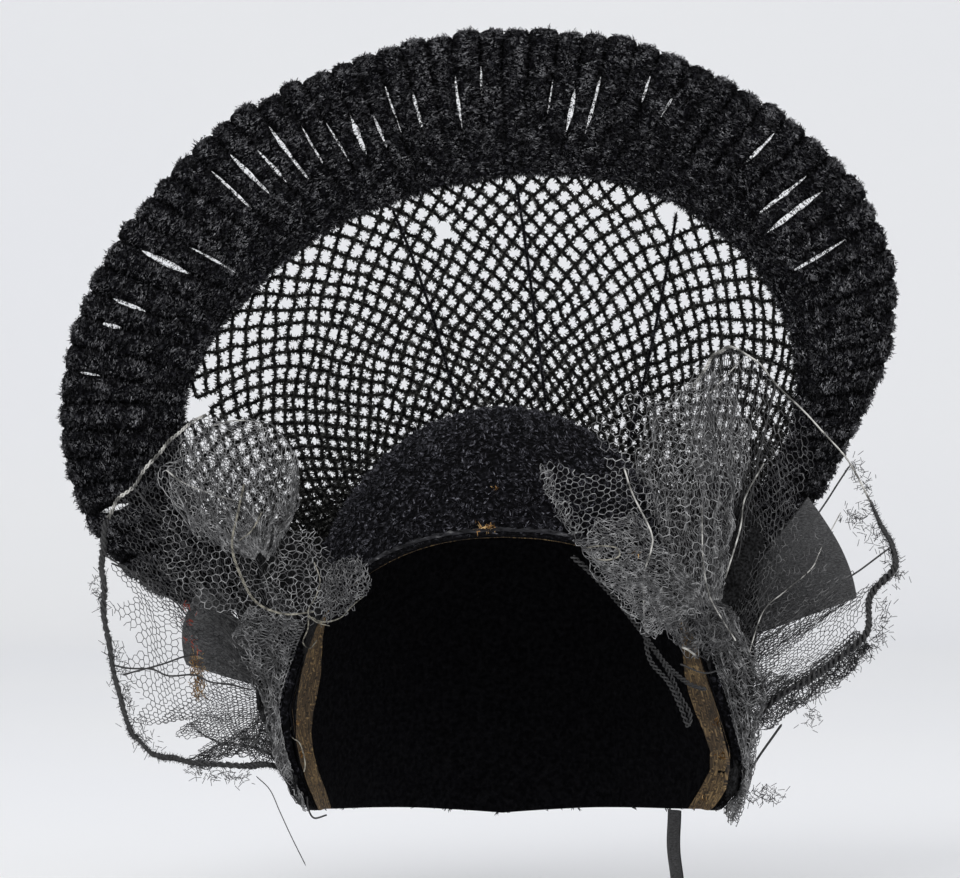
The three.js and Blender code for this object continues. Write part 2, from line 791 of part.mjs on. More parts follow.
function loopGeometry({ side, drop, turn, reach, width }) {
  const seat = (azimuth, down) => headPoint(side * azimuth, down, coverOuter + gap + crepeWall / 4);
  const from = seat(loopFirstSeat, drop);
  const to = seat(loopLastSeat, drop);
  const above = seat(loopFirstSeat, drop - loopDropStep);
  const below = seat(loopFirstSeat, drop + loopDropStep);
  const out = vector(Math.sin(turn * degrees), -ribbonForward, Math.cos(turn * degrees));
  const across = vector(-Math.cos(turn * degrees), 0, Math.sin(turn * degrees)).multiplyScalar(side);
  const upright = above.sub(below).normalize();
  const surface = (along, over) => {
    const swing = Math.sin(Math.PI * along) ** 0.8;
    const wide = ribbonWidth * width * mix(ribbonPinch, 1, swing);
    return from.clone().lerp(to, along)
      .addScaledVector(out, ribbonReach * reach * swing)
      .addScaledVector(upright.clone().lerp(across, swing), wide * (over - 0.5));
  };
  return sheet(14, 3, surface, crepeWall / 2);
}

for (const loop of loops) addPiece(`ribbon_loop_${loop.name}`, loopGeometry(loop), crepe);

// A ribbon end that hangs from the hem behind the right flap
function tailGeometry() {
  const hemDrop = readTable(hem, 'azimuth', 'drop', tailAzimuth) + (2 * gap) / capDepth;
  const seat = headPoint(tailAzimuth, hemDrop, liningOuter);
  const beside = headPoint(tailAzimuth + tailSpread, hemDrop, liningOuter).sub(seat).setZ(0).normalize();
  const inwards = vector(-beside.y, beside.x, 0);
  const surface = (along, over) => seat.clone()
    .addScaledVector(beside, tailWidth * (over - 0.5))
    .addScaledVector(inwards, tailWave * Math.sin(2 * Math.PI * along) * along)
    .add(vector(0, 0, -tailLength * along));
  return sheet(8, 2, surface, crepeWall / 2);
}

addPiece('ribbon_tail', tailGeometry(), crepe);

export default bonnet;
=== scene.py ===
# Folk costume bonnet: its chenille, straw, tulle, crepe and wire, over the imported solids.
# Metres. +X is to the right as seen from in front, +Y is backwards and +Z is up.
# The origin is where the crown of a head touches the inside of the cap.
import math

import bpy
import numpy as np
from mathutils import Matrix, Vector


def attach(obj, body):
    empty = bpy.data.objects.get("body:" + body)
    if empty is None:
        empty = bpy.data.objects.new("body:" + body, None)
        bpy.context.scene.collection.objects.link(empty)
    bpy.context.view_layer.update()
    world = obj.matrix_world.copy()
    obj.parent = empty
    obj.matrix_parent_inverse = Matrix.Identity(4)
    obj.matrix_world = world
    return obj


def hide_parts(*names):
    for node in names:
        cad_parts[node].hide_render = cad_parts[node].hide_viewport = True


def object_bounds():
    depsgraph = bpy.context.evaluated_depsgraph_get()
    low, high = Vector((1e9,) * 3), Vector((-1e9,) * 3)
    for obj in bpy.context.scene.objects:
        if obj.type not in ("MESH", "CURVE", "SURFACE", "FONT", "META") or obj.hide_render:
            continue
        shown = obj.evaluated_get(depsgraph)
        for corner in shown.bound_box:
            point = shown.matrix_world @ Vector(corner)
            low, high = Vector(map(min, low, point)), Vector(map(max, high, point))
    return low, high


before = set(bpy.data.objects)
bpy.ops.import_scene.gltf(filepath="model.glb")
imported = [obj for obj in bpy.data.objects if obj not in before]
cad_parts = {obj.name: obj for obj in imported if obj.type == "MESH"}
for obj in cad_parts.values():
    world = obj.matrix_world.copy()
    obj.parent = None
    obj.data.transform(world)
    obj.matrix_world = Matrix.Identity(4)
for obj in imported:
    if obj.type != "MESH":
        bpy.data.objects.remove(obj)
solid_box = [list(corner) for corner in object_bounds()]

# The camera: the photograph covers this width at the wheel, seen from this far in front of it
PHOTO_SPAN = 0.4032
CAMERA_DISTANCE = 1.8
CAMERA_ACROSS = -0.0097
CAMERA_UP = -0.008
WHEEL_BACK = 0.015
CAMERA_BACK = WHEEL_BACK - CAMERA_DISTANCE
PHOTO_WIDTH = 960
PHOTO_MIDDLE = (480, 439)
SENSOR_WIDTH = 36
MM = 0.001

# The hollow for the head
HEAD_HALF_WIDTH = 0.078
HEAD_HALF_DEPTH = 0.095
CROWN_HEIGHT = 0.1
CAP_DEPTH = 0.172
FLAP_FLARE = 0.017
FLARE_FRONT = 92
FLARE_BACK = 140

# Walls and clearances
GAP = 0.0003
LINING_WALL = 0.0014
STRAW_WALL = 0.0007
STRAW_AZIMUTH = 109
STRAW_BUCKLE = 0.00012
STRAW_TOP = 0.12
STRAW_STRAY = 4
COVER_WALL = 0.0036
COVER_INNER = LINING_WALL + GAP
COVER_OUTER = COVER_INNER + COVER_WALL
NET_WALL = 0.002
TULLE_WALL = 0.001
CREPE_WALL = 0.0012

# The pale floor, its sweep and its edges, and the light from all round
FLOOR_BELOW = 0.001
FLOOR_HALF_WIDTH = 5.0
FLOOR_FRONT = -5.0
FLOOR_BACK = 2.4
FLOOR_BEND = 0.6
FLOOR_TOP = 4.0
FLOOR_PATCHES = 1.5
FLOOR_COLOURS = [(0.3, (0.86, 0.865, 0.88)), (0.7, (0.88, 0.882, 0.88))]
SKY = (0.96, 0.97, 1, 1)
SKY_STRENGTH = 0.8

# The wheel
WHEEL_RADIUS = 0.176
WHEEL_ACROSS = -0.0013
WHEEL_UP = -0.0042
WHEEL_SEAT_BACK = 0.008
NET_LEAN = 0.012
NET_LEAN_POWER = 1.5
RIM_LEAN = 0.009
WHEEL_YAW = math.radians(5)
RIM_RELIEF = 0.0012

# The net: half cells across and up, the cords between them and how they are fringed. Drift is in
# degrees of turn, sway a share of the net's height, and crowding how much its cells narrow upwards.
NET_ACROSS = 100
NET_UP = 24
NET_CROWDING = 0.14
NET_DRIFT = 1.3
NET_SWAY = 0.012
NET_BOW = 0.0003
NET_CORE = 0.0007
NET_FIBRE = 0.0022
NET_CLUMPS = 3
NET_FIBRES = 12
NET_FIBRE_WIDTH = 0.0012
NET_FIBRE_LENGTHS = (0.55, 1.15)
NET_CLUMP_STRAY = 0.05
NET_FIBRE_STAND = 0.5
NET_FIBRE_LEAN = 0.3
NET_JITTER = 0.0004

# The wires up the net and the fibres wrapped round them
RIB_WIRE = 0.0006
RIB_FOOT = 0.04
RIB_HEAD = 0.975
RIB_FIBRES = 1400
RIB_FIBRE_LENGTHS = (0.001, 0.0021)

# The rim's cords: shares across a cord, how it wanders, ends and merges with its neighbours
RIM_CORDS = 64
RIM_ROWS = 22
RIM_CROWDING = 1.15
CORD_PROFILE = (0, 0.05, 0.14, 0.28, 0.5, 0.72, 0.86, 0.95, 1.0)
CORD_CREST = 0.0066
CORD_VALLEY = 0.0012
CORD_SIZES = (0.86, 1.08)
CORD_WANDER = 0.13
CORD_APART = 0.012
CORD_END = 0.12
CORD_END_LEAST = 0.02
CORD_FOOT = 0.72
CORD_FOOT_REACH = 0.2
CORD_TIP = 0.014
CORD_TIP_STRAY = 0.012
MERGED_FROM = 0.08
MERGED_TO = 0.42
MERGED_ROUND = 0.8
MERGED_SHARE = 0.75
CORD_FIBRE = 0.0018
CORD_FIBRE_WIDTH = 0.00046
RIM_TUFTS_FRONT = 31000
RIM_TUFTS_BACK = 4200
RIM_TUFTS_INNER = 2400
RIM_SWING = 0.8
RIM_STAND = (0.3, 0.9)
RIM_STRAY = 0.2
RIM_FIBRE_LENGTHS = (0.35, 0.85)
RIM_VALLEY_PILE = 0.3
RIM_VALLEY_LENGTH = 0.5
INNER_FIBRE = 0.0028
INNER_STRAY = 0.35
INNER_LENGTHS = (0.3, 1.1)
SLIT_OPEN = 0.95
SLIT_RAGGED = (0.6, 1.2)
SLIT_FIBRES = 60
SLIT_FIBRE_LENGTHS = (0.25, 0.75)
SLIT_THREAD = 0.00013
SLIT_THREADS_EACH = 2
SLIT_CROSSED = (-0.1, 1)
SLIT_STRAY = 0.01
SLIT_FIBRE_STRAY = 0.012
# Painted shade: how much darker the rim's pile is painted in the valleys between cords
PAINTED_VALLEY_SHADE = 0.36

# Pile grows in tufts, each of a few fibres
TUFT_FIBRES = 5
TUFT_SPREAD = 0.0004
TUFT_LEAN = 0.25
TUFT_LENGTHS = (0.7, 1.15)
TUFT_WIDTHS = (0.8, 1.5)
FIBRE_WIDTH = 0.00055
FIBRE_SHADE = 0.4
PILE_GLOSS = 0.2
PILE_SUNK = 0.0006
CAP_FIBRE = 0.0022
CAP_FIBRE_LENGTHS = (0.5, 1.2)
CAP_STAND = (0.1, 1.1)
CAP_TUFTS = 14600

# Straw ends at the worn spots: how they scatter and point, to the right, backwards and upwards
STRAW_END_WIDTH = 0.0006
STRAW_END_LENGTHS = (0.3, 1)
STRAW_END_SCATTER = (1, 0.3, 0.6)
STRAW_END_SWING = (1, 0.2, 0.5)
STRAW_END_LEAN = (0, -0.5, 0)

# The brow's binding: its half angle in degrees, and its place and depth as shares of the hem's drop
BINDING_AZIMUTH = 66
BINDING_START = 0.978
BINDING_DEPTH = 0.026
BINDING_RAGGED = 0.005
BINDING_WAVES = 30
BINDING_ABOVE = 0.0002
BINDING_ROUND = 0.0008

# Tulle: the share of its threads that are broken, and how it strays, crumples and lies in layers.
# Its rows of hexagons are ROW_PITCH edges apart; CELLS_TO_STRAY is a cell over how far a knot strays.
THREAD = 0.00018
FRONT_THREAD = 0.00018
LOOSE = 0.05
PANEL_LOOSE = 0.03
LAYER_APART = 0.003
LAYER_TURN = 25
LAYER_SPREAD = 0.12
LAYER_PLEATS = 2
LAYER_SINK = 0.002
ROW_PITCH = 1.5
CELLS_TO_STRAY = 14
PANEL_CELLS_TO_STRAY = 16
PANEL_CUT = 2.2
PANEL_EDGE_STEPS = 70
PANEL_CRUMPLE = 0.0016
GATHER_WAVES = 11
GATHER_EDGE_WAVES = 18
GATHER_CRUMPLE = 0.002
GATHER_RAGGED = 0.05
GATHER_FOOT = 3

# Strands: cords are twisted this far apart, in their own radii, and flatter than round. Scraps of
# thread are a share as thick as the tulle's.
STRAND_STEPS = 20
HANGING_STEPS = 40
TWIST_PITCH = 0.005
TWIST_APART = 1.5
TWIST_FLAT = 0.6
SCRAP_THREAD = 0.003
SCRAP_THIN = 0.8

# Wings and rosettes
WING_REACH = 0.1
WING_FOLD = 0.0035
WING_CRUMPLE = 0.0016
WING_CUT = 0.62
DOUBLE_REACH = 0.6
DOUBLE_RAGGED = 0.25
DOUBLE_TURNS = 23
BARE_WIRE = 0.0005
WRAPPED_WIRE = 0.0011
SPOKE_WIRE = 0.0004
SPOKE_BEFORE = 0.0022
HOOP_WANDER = 0.0007
HOOP_TURNS = 52
HOOP_STEPS = 420
HOOP_WAVES = 34
WRAP_BEFORE = 0.02
WRAP_AFTER = 0.03
HOOP_SIZES = (0.55, 0.8)
HOOP_FIBRES = 4200
HOOP_FIBRE_LENGTHS = (0.0012, 0.003)
HOOP_FIBRE_WIDTH = 0.0004
WING_BEHIND = 0.0023
WING_HUB_AZIMUTH = 76
WING_HUB_DROP = 0.51
DRAPE_CLEARANCE = 0.0022

# Crepe: a loop's first and last seats are azimuths, as the tail's seat is
RIBBON_REACH = 0.068
RIBBON_WIDTH = 0.04
RIBBON_PINCH = 0.25
RIBBON_FORWARD = 0.22
RIBBON_SWELL = 0.8
RIBBON_CREASE = 0.0012
LOOP_FIRST_SEAT = 94
LOOP_LAST_SEAT = 100
LOOP_SEAT_DROP = 0.03
TAIL_AZIMUTH = 118
TAIL_WIDTH = 0.011
TAIL_LENGTH = 0.042
TAIL_SWAY = 0.002
TAIL_CURL = 0.0006

# Materials: grain and splints are counts to the metre
SPLINTS = 300
STRAW_UPRIGHT_GRAIN = (1000, 110, 1)
STRAW_LEVEL_GRAIN = (500, 900, 1)
STRAW_PATCHES = 60
STRAW_PATCH_SHARE = 0.35
STRAW_RELIEF = 0.0006
STRAW_COLOURS = [
    (0.54, (0.014, 0.009, 0.005)), (0.67, (0.075, 0.048, 0.024)),
    (0.77, (0.18, 0.12, 0.056)), (0.86, (0.38, 0.26, 0.12)),
]
CREPE_GRAIN = (900, 900, 2600)
CREPE_RELIEF = 0.0004

# Waves summed in smooth noise, the share of a tube's thickness at its ends, and the least length
WAVES_SUMMED = 8
TUBE_END = 0.2
TINY = 1e-12

LEFT = -1
RIGHT = 1
BACKWARDS = np.array([0.0, 1.0, 0.0])


def table(names, *rows):
    """A short table, as one array for each named column."""
    return dict(zip(names.split(), np.array(rows, float).T))


def named_rows(names, *rows):
    """A table whose cells may be words and lists, as one dictionary for each row."""
    return [dict(zip(names.split(), row)) for row in rows]


# The cap's hem from the brow (0) to the nape (180 degrees): its drop below the crown, as a share
# of CAP_DEPTH
HEM = table(
    "azimuth drop",
    (0, 0.275), (13, 0.28), (26, 0.297), (39, 0.33), (52, 0.378), (64, 0.43), (74, 0.49),
    (80, 0.57), (84, 0.7), (88, 0.86), (94, 0.94), (106, 0.955), (120, 0.965), (134, 0.972),
    (150, 0.98), (165, 0.99), (180, 1),
)

# The rows of that table that run down a flap's front edge
FLAP_ROWS = slice(6, 11)

# How far the ear flaps stand out, as shares of FLAP_FLARE
FLARE = table(
    "drop left right",
    (0.44, 0, 0), (0.58, 0.3, 0.25), (0.72, 0.6, 0.7), (0.85, 0.3, 1), (0.94, 0, 0.6), (1.02, -0.1, 0.1),
)

# The wheel by its turn from upright: the rim's edges as shares of WHEEL_RADIUS, and the turn over
# the cap's ridge from which the net springs
WHEEL = table(
    "turn outer inner seat",
    (-124, 0.79, 0.57, -64), (-112, 0.94, 0.7, -60.5), (-98, 1.025, 0.752, -56),
    (-80, 1.045, 0.738, -49), (-60, 1.01, 0.668, -39), (-40, 0.982, 0.623, -24),
    (-20, 0.952, 0.594, -8), (0, 0.957, 0.602, 8), (20, 0.985, 0.64, 23), (40, 1.016, 0.688, 37),
    (60, 1.046, 0.727, 46), (75, 0.988, 0.728, 51.5), (90, 0.86, 0.695, 56), (105, 0.77, 0.62, 60),
    (118, 0.7, 0.53, 63),
)

# Open slits between the rim's cords: from and to are shares of the rim's width, open is the width
# of the slit and threads how many fibres cross it
SLITS = table(
    "turn from to open threads",
    (-101, 0.58, 0.85, 0.0028, 2), (-82, 0.72, 0.9, 0.0012, 4), (-74, 0.66, 0.84, 0.002, 3),
    (-70, 0.55, 0.82, 0.0022, 5), (-64, 0.46, 0.82, 0.0032, 3), (-60, 0.2, 0.57, 0.0016, 14),
    (-50, 0.42, 0.8, 0.0016, 16), (-46, 0.45, 0.8, 0.0024, 8), (-42, 0.45, 0.7, 0.002, 4),
    (-38, 0.34, 0.82, 0.0024, 10), (-34, 0.4, 0.7, 0.0014, 12), (-30, 0.38, 0.65, 0.0016, 10),
    (-26, 0.36, 0.66, 0.0034, 3), (-21.5, 0.35, 0.6, 0.002, 4), (-17, 0.45, 0.78, 0.0012, 14),
    (-13, 0.4, 0.68, 0.0022, 8), (-8.5, 0.35, 0.74, 0.002, 14), (-3, 0.55, 0.77, 0.0014, 8),
    (8, 0.42, 0.65, 0.0012, 10), (12, 0.3, 0.6, 0.0026, 5), (16.5, 0.33, 0.72, 0.002, 8),
    (24.5, 0.6, 0.83, 0.0014, 10), (29, 0.55, 0.74, 0.0012, 8), (42.5, 0.55, 0.85, 0.0018, 12),
    (50.5, 0.28, 0.78, 0.0024, 12), (55, 0.25, 0.75, 0.0028, 12), (60.5, 0.21, 0.72, 0.002, 14),
)

# Where the net's cords are torn
TEARS = table("turn share reach", (-15.3, 0.82, 0.005), (-85, 0.93, 0.006), (38.7, 0.95, 0.006))

# The wires on the front of the net
RIBS = {
    "net_rib_left": (-26, -24.5, -26),
    "net_rib_middle": (6, 4.7, 3.5),
    "net_rib_right": (41, 40, 38.5),
}

# The wings' wires by turn and reach from the wing's hub, as shares of WING_REACH
WING_LEFT = table(
    "turn reach lift",
    (-24.5, 0.98, 0.24), (-32, 0.97, 0.21), (-39, 0.945, 0.18), (-50, 0.93, 0.15), (-58, 0.935, 0.12),
    (-69, 0.89, 0.09), (-81, 0.83, 0.05), (-100, 0.795, 0.02), (-116, 0.81, 0), (-123, 0.81, 0.01),
    (-131, 0.79, 0.03), (-137, 0.73, 0.07), (-154, 0.63, 0.17), (-166, 0.58, 0.23), (-175, 0.64, 0.27),
)
WING_RIGHT = table(
    "turn reach lift",
    (-2, 1, 0.3), (2, 1.11, 0.28), (4, 1.16, 0.27), (6.5, 1.18, 0.26), (11, 1.15, 0.25), (17, 1.07, 0.24),
    (29, 0.975, 0.2), (42, 0.925, 0.15), (58, 0.86, 0.1), (66, 0.855, 0.07), (72, 0.82, 0.05),
    (79, 0.7, 0.03), (91, 0.67, 0.03), (104, 0.545, 0.05), (118, 0.46, 0.09), (145, 0.43, 0.2),
    (164, 0.6, 0.28),
)
FLAP_LINE = table("along azimuth drop", (0, 76, 0.5), (0.35, 84, 0.62), (0.7, 90, 0.76), (1, 94, 0.86))


# Curves and vectors

def unit(vectors):
    return vectors / np.maximum(np.linalg.norm(vectors, axis=-1, keepdims=True), TINY)


def smooth_step(low, high, value):
    share = np.clip((value - low) / (high - low), 0, 1)
    return share * share * (3 - 2 * share)


def read(rows, key, column, value):
    """A smooth curve through a table's rows: one column where another has this value."""
    x, y = rows[key], rows[column]
    slope = np.gradient(y, x)
    slope[1:-1] = (y[2:] - y[:-2]) / (x[2:] - x[:-2])
    held = np.clip(value, x[0], x[-1])
    at = np.clip(np.searchsorted(x, held) - 1, 0, len(x) - 2)
    width = x[at + 1] - x[at]
    s = (held - x[at]) / width
    bend = s * s * (3 - 2 * s)
    low_pull = s * (1 - s) ** 2 * width * slope[at]
    high_pull = s * s * (s - 1) * width * slope[at + 1]
    return y[at] + (y[at + 1] - y[at]) * bend + low_pull + high_pull


def spline(points, along):
    """A smooth curve through the points, at these shares (0 to 1) of the way along them."""
    points = np.asarray(points, float)
    at = np.linspace(0, 1, len(points))
    axes = [read({"at": at, "value": points[:, k]}, "at", "value", along) for k in range(3)]
    return np.stack(axes, -1)


def waves(count, size, rng):
    """Smooth noise from 0 to 1 in both ways over a sheet, as a function of its two shares."""
    turns = rng.uniform(-count, count, (2, WAVES_SUMMED)) * math.pi
    phase = rng.uniform(0, 2 * math.pi, WAVES_SUMMED)

    def noise(along, out):
        angle = along[..., None] * turns[0] + out[..., None] * turns[1] + phase
        return size * np.sin(angle).mean(-1) * 2
    return noise


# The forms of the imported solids

def flap_push(azimuth, drop):
    share = np.where(azimuth > 0, read(FLARE, "drop", "right", drop), read(FLARE, "drop", "left", drop))
    return FLAP_FLARE * share * (1 - smooth_step(FLARE_FRONT, FLARE_BACK, np.abs(azimuth)))


def head_point(azimuth, drop, offset):
    """A point this far outside the hollow, at an azimuth from the brow and a drop below the crown."""
    azimuth, drop = np.broadcast_arrays(np.asarray(azimuth, float), np.asarray(drop, float))
    depth = drop * CAP_DEPTH / CROWN_HEIGHT
    sweep = np.arccos(np.clip(1 - depth, 0, 1))
    ring = np.sin(sweep)
    upright = np.maximum(depth - 1, 0) * CROWN_HEIGHT
    turn = np.radians(azimuth)
    push = flap_push(azimuth, drop) * np.sign(azimuth)
    return np.stack([
        (HEAD_HALF_WIDTH + offset) * ring * np.sin(turn) + push,
        -(HEAD_HALF_DEPTH + offset) * ring * np.cos(turn),
        (CROWN_HEIGHT + offset) * np.cos(sweep) - CROWN_HEIGHT - upright,
    ], -1)


def swept_drop(share, hem_drop):
    """Shares of the way from crown to hem, spread evenly along the cap's curve."""
    def arc(drop):
        depth = drop * CAP_DEPTH / CROWN_HEIGHT
        return np.where(depth < 1, np.arccos(np.clip(1 - depth, -1, 1)), math.pi / 2 + depth - 1)
    swept = share * arc(hem_drop)
    depth = np.where(swept < math.pi / 2, 1 - np.cos(swept), swept - math.pi / 2 + 1)
    return depth * CROWN_HEIGHT / CAP_DEPTH


def cap_grid(columns, rows, offset, first=0.0):
    azimuth = np.linspace(-180, 180, columns + 1)[:, None]
    share = np.linspace(first, 1, rows + 1)[None, :]
    drop = swept_drop(share, read(HEM, "azimuth", "drop", np.abs(azimuth)))
    return head_point(azimuth + 0 * drop, drop, offset)


def ridge_point(seat):
    offset = COVER_OUTER + GAP
    level = math.sqrt(1 - (WHEEL_SEAT_BACK / (HEAD_HALF_DEPTH + offset)) ** 2)
    turn = np.radians(seat)
    across = (HEAD_HALF_WIDTH + offset) * level * np.sin(turn)
    up = (CROWN_HEIGHT + offset) * level * np.cos(turn) - CROWN_HEIGHT
    return np.stack([across, np.full_like(across, WHEEL_SEAT_BACK), up], -1)


def wheel_point(turn, share):
    """A point of the wheel: share runs from 0 at the cap through 1 at the rim's inner edge to 2."""
    turn, share = np.broadcast_arrays(np.asarray(turn, float), np.asarray(share, float))

    def edge(name, beyond):
        radius = WHEEL_RADIUS * read(WHEEL, "turn", name, turn) + beyond
        across = WHEEL_ACROSS + radius * np.sin(np.radians(turn))
        up = WHEEL_UP + radius * np.cos(np.radians(turn))
        return np.stack([across, 0 * up, up], -1)
    on_net = np.minimum(share, 1)
    on_rim = np.maximum(share - 1, 0)
    seat = ridge_point(read(WHEEL, "turn", "seat", turn))
    net = seat + (edge("inner", 0) - seat) * on_net[..., None]
    inner = edge("inner", RIM_RELIEF)
    rim = inner + (edge("outer", 0) - inner) * on_rim[..., None]
    point = np.where((share > 1)[..., None], rim, net)
    lean = NET_LEAN * np.maximum(on_net, 0) ** NET_LEAN_POWER + RIM_LEAN * on_rim
    point[..., 1] = WHEEL_SEAT_BACK + lean + math.tan(WHEEL_YAW) * point[..., 0] * on_net
    return point


def from_hub(hub, rows):
    turn = np.radians(rows["turn"])
    reach = WING_REACH * rows["reach"]
    offset = np.stack([reach * np.sin(turn), WING_REACH * rows["lift"], reach * np.cos(turn)], -1)
    return hub + offset


def cover_front(across, up):
    """How far back the cover's outside lies behind this place, or none beside and above the cap."""
    left = 1 - (across / (HEAD_HALF_WIDTH + COVER_OUTER)) ** 2
    left = left - (np.maximum(up + CROWN_HEIGHT, 0) / (CROWN_HEIGHT + COVER_OUTER)) ** 2
    depth = -(HEAD_HALF_DEPTH + COVER_OUTER) * np.sqrt(np.maximum(left, 0))
    return np.where(left > 0, depth, 1)


# Meshes

def grid_triangles(columns, rows, keep=None):
    column, row = np.meshgrid(np.arange(columns), np.arange(rows), indexing="ij")
    if keep is not None:
        column, row = column[keep], row[keep]
    a = (column * (rows + 1) + row).ravel()
    b = a + rows + 1
    return np.concatenate([np.stack([a, b, b + 1], 1), np.stack([a, b + 1, a + 1], 1)])


def grid_part(grid, keep=None):
    columns, rows = grid.shape[0] - 1, grid.shape[1] - 1
    return grid.reshape(-1, 3), grid_triangles(columns, rows, keep)


def flipped(part):
    return part[0], part[1][:, ::-1]


def join(parts):
    points, triangles, start = [], [], 0
    for some_points, some_triangles in parts:
        points.append(some_points)
        triangles.append(some_triangles + start)
        start += len(some_points)
    return np.concatenate(points), np.concatenate(triangles)


def add_piece(name, parts, material, nodes=(), smooth=True, uv=None):
    """One object of the bonnet, made of parts that are points and triangles."""
    points, triangles = join(parts)
    mesh = bpy.data.meshes.new(name)
    mesh.vertices.add(len(points))
    mesh.vertices.foreach_set("co", points.astype(np.float32).ravel())
    mesh.loops.add(triangles.size)
    mesh.loops.foreach_set("vertex_index", triangles.astype(np.int32).ravel())
    mesh.polygons.add(len(triangles))
    mesh.polygons.foreach_set("loop_start", np.arange(len(triangles), dtype=np.int32) * 3)
    mesh.polygons.foreach_set("use_smooth", np.full(len(triangles), smooth))
    if uv is not None:
        layer = mesh.uv_layers.new(name="cloth")
        layer.data.foreach_set("uv", uv[triangles.ravel()].astype(np.float32).ravel())
    mesh.update(calc_edges=True)
    mesh.materials.append(material)
    piece = bpy.data.objects.new(name, mesh)
    bpy.context.scene.collection.objects.link(piece)
    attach(piece, "root")
    if nodes:
        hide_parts(*nodes)
    return piece


def tube(path, radius, sides=6):
    """A round tube along a path that runs more or less upright, with this radius at each point."""
    path = np.asarray(path, float)
    tangent = unit(np.gradient(path, axis=0))
    across = unit(np.cross(tangent, BACKWARDS))
    over = np.cross(across, tangent)
    turn = 2 * math.pi * np.arange(sides + 1) / sides
    ring = np.cos(turn)[:, None, None] * across + np.sin(turn)[:, None, None] * over
    radius = np.broadcast_to(np.asarray(radius, float), len(path)).copy()
    radius[[0, -1]] *= TUBE_END
    return grid_part(path + radius[:, None] * ring)


def prisms(start, end, radius, sides=3):
    """A short straight thread for each pair of points."""
    tangent = unit(end - start)
    helper = np.where(np.abs(tangent[:, 1:2]) > 0.9, [[1.0, 0.0, 0.0]], [BACKWARDS])
    across = unit(np.cross(tangent, helper))
    over = np.cross(across, tangent)
    turn = 2 * math.pi * np.arange(sides) / sides
    ring = np.cos(turn)[None, :, None] * across[:, None] + np.sin(turn)[None, :, None] * over[:, None]
    points = np.concatenate([start[:, None] + radius * ring, end[:, None] + radius * ring], 1)
    side = np.arange(sides)
    after = (side + 1) % sides
    walls = np.concatenate([
        np.stack([side, after, after + sides], 1), np.stack([side, after + sides, side + sides], 1),
    ])
    count = len(start)
    triangles = (walls[None] + (np.arange(count) * 2 * sides)[:, None, None]).reshape(-1, 3)
    return points.reshape(-1, 3), triangles


def fibres(root, direction, length, width, rng):
    """Pile: a thin triangle for each fibre, from its root along its direction."""
    side = unit(np.cross(direction, rng.normal(size=direction.shape)))
    half = side * (np.asarray(width) / 2)
    tip = root + unit(direction) * np.asarray(length)[:, None]
    points = np.stack([root - half, root + half, tip], 1).reshape(-1, 3)
    return points, np.arange(len(points)).reshape(-1, 3)


def fuzz(path, first, count, lengths, width, rng):
    """Fibres that stand out every way along a path, from its point of this number on."""
    at = rng.integers(first, len(path) - 1, count)
    root = path[at] + (path[at + 1] - path[at]) * rng.random((count, 1))
    direction = rng.normal(size=(count, 3))
    return fibres(root, direction, rng.uniform(*lengths, count), width, rng)


def tufts(root, direction, length, width, rng):
    """Pile in small tufts, whose fibres lean together."""
    each = TUFT_FIBRES
    place = np.repeat(root, each, 0) + rng.normal(0, TUFT_SPREAD, (len(root) * each, 3))
    lean = unit(np.repeat(unit(direction), each, 0) + rng.normal(0, TUFT_LEAN, place.shape))
    long = np.repeat(length, each) * rng.uniform(*TUFT_LENGTHS, len(place))
    return fibres(place, lean, long, width * rng.uniform(*TUFT_WIDTHS, (len(place), 1)), rng)


def scatter(grid, count, rng, keep=None):
    """Random places on a grid of points: place, normal, the ways across and down, and the cell. They
    are even by area, or as many in each cell as keep says."""
    a, b, c, d = grid[:-1, :-1], grid[1:, :-1], grid[1:, 1:], grid[:-1, 1:]
    across, down = (b - a + c - d) / 2, (d - a + c - b) / 2
    normal = np.cross(across, down)
    area = np.linalg.norm(normal, axis=-1)
    if keep is not None:
        area = area * keep
    cell = rng.choice(area.size, count, p=(area / area.sum()).ravel())
    i, j = np.unravel_index(cell, area.shape)
    s, t = rng.random((2, count, 1))
    upper = a[i, j] * (1 - s) * (1 - t) + b[i, j] * s * (1 - t)
    place = upper + c[i, j] * s * t + d[i, j] * (1 - s) * t
    return place, unit(normal[i, j]), unit(across[i, j]), unit(down[i, j]), (i, j)


# Materials

def new_material(name):
    material = bpy.data.materials.new(name)
    material.use_nodes = True
    nodes = material.node_tree.nodes
    return material, nodes, material.node_tree.links, nodes["Principled BSDF"]


def add_ramp(nodes, stops):
    ramp = nodes.new("ShaderNodeValToRGB")
    first, last = ramp.color_ramp.elements
    first.position, first.color = stops[0][0], (*stops[0][1], 1)
    last.position, last.color = stops[-1][0], (*stops[-1][1], 1)
    for position, color in stops[1:-1]:
        ramp.color_ramp.elements.new(position).color = (*color, 1)
    return ramp


def add_noise(nodes, links, scale, detail=2.0, stretch=None, vector=None):
    noise = nodes.new("ShaderNodeTexNoise")
    noise.inputs["Scale"].default_value = scale
    noise.inputs["Detail"].default_value = detail
    source = vector
    if source is None:
        source = nodes.new("ShaderNodeTexCoord").outputs["Object"]
    if stretch is not None:
        mapping = nodes.new("ShaderNodeMapping")
        mapping.inputs["Scale"].default_value = stretch
        links.new(source, mapping.inputs["Vector"])
        source = mapping.outputs["Vector"]
    links.new(source, noise.inputs["Vector"])
    return noise


def add_bump(nodes, links, shader, height, distance, strength=1.0):
    bump = nodes.new("ShaderNodeBump")
    bump.inputs["Distance"].default_value = distance
    bump.inputs["Strength"].default_value = strength
    links.new(height, bump.inputs["Height"])
    links.new(bump.outputs["Normal"], shader.inputs["Normal"])


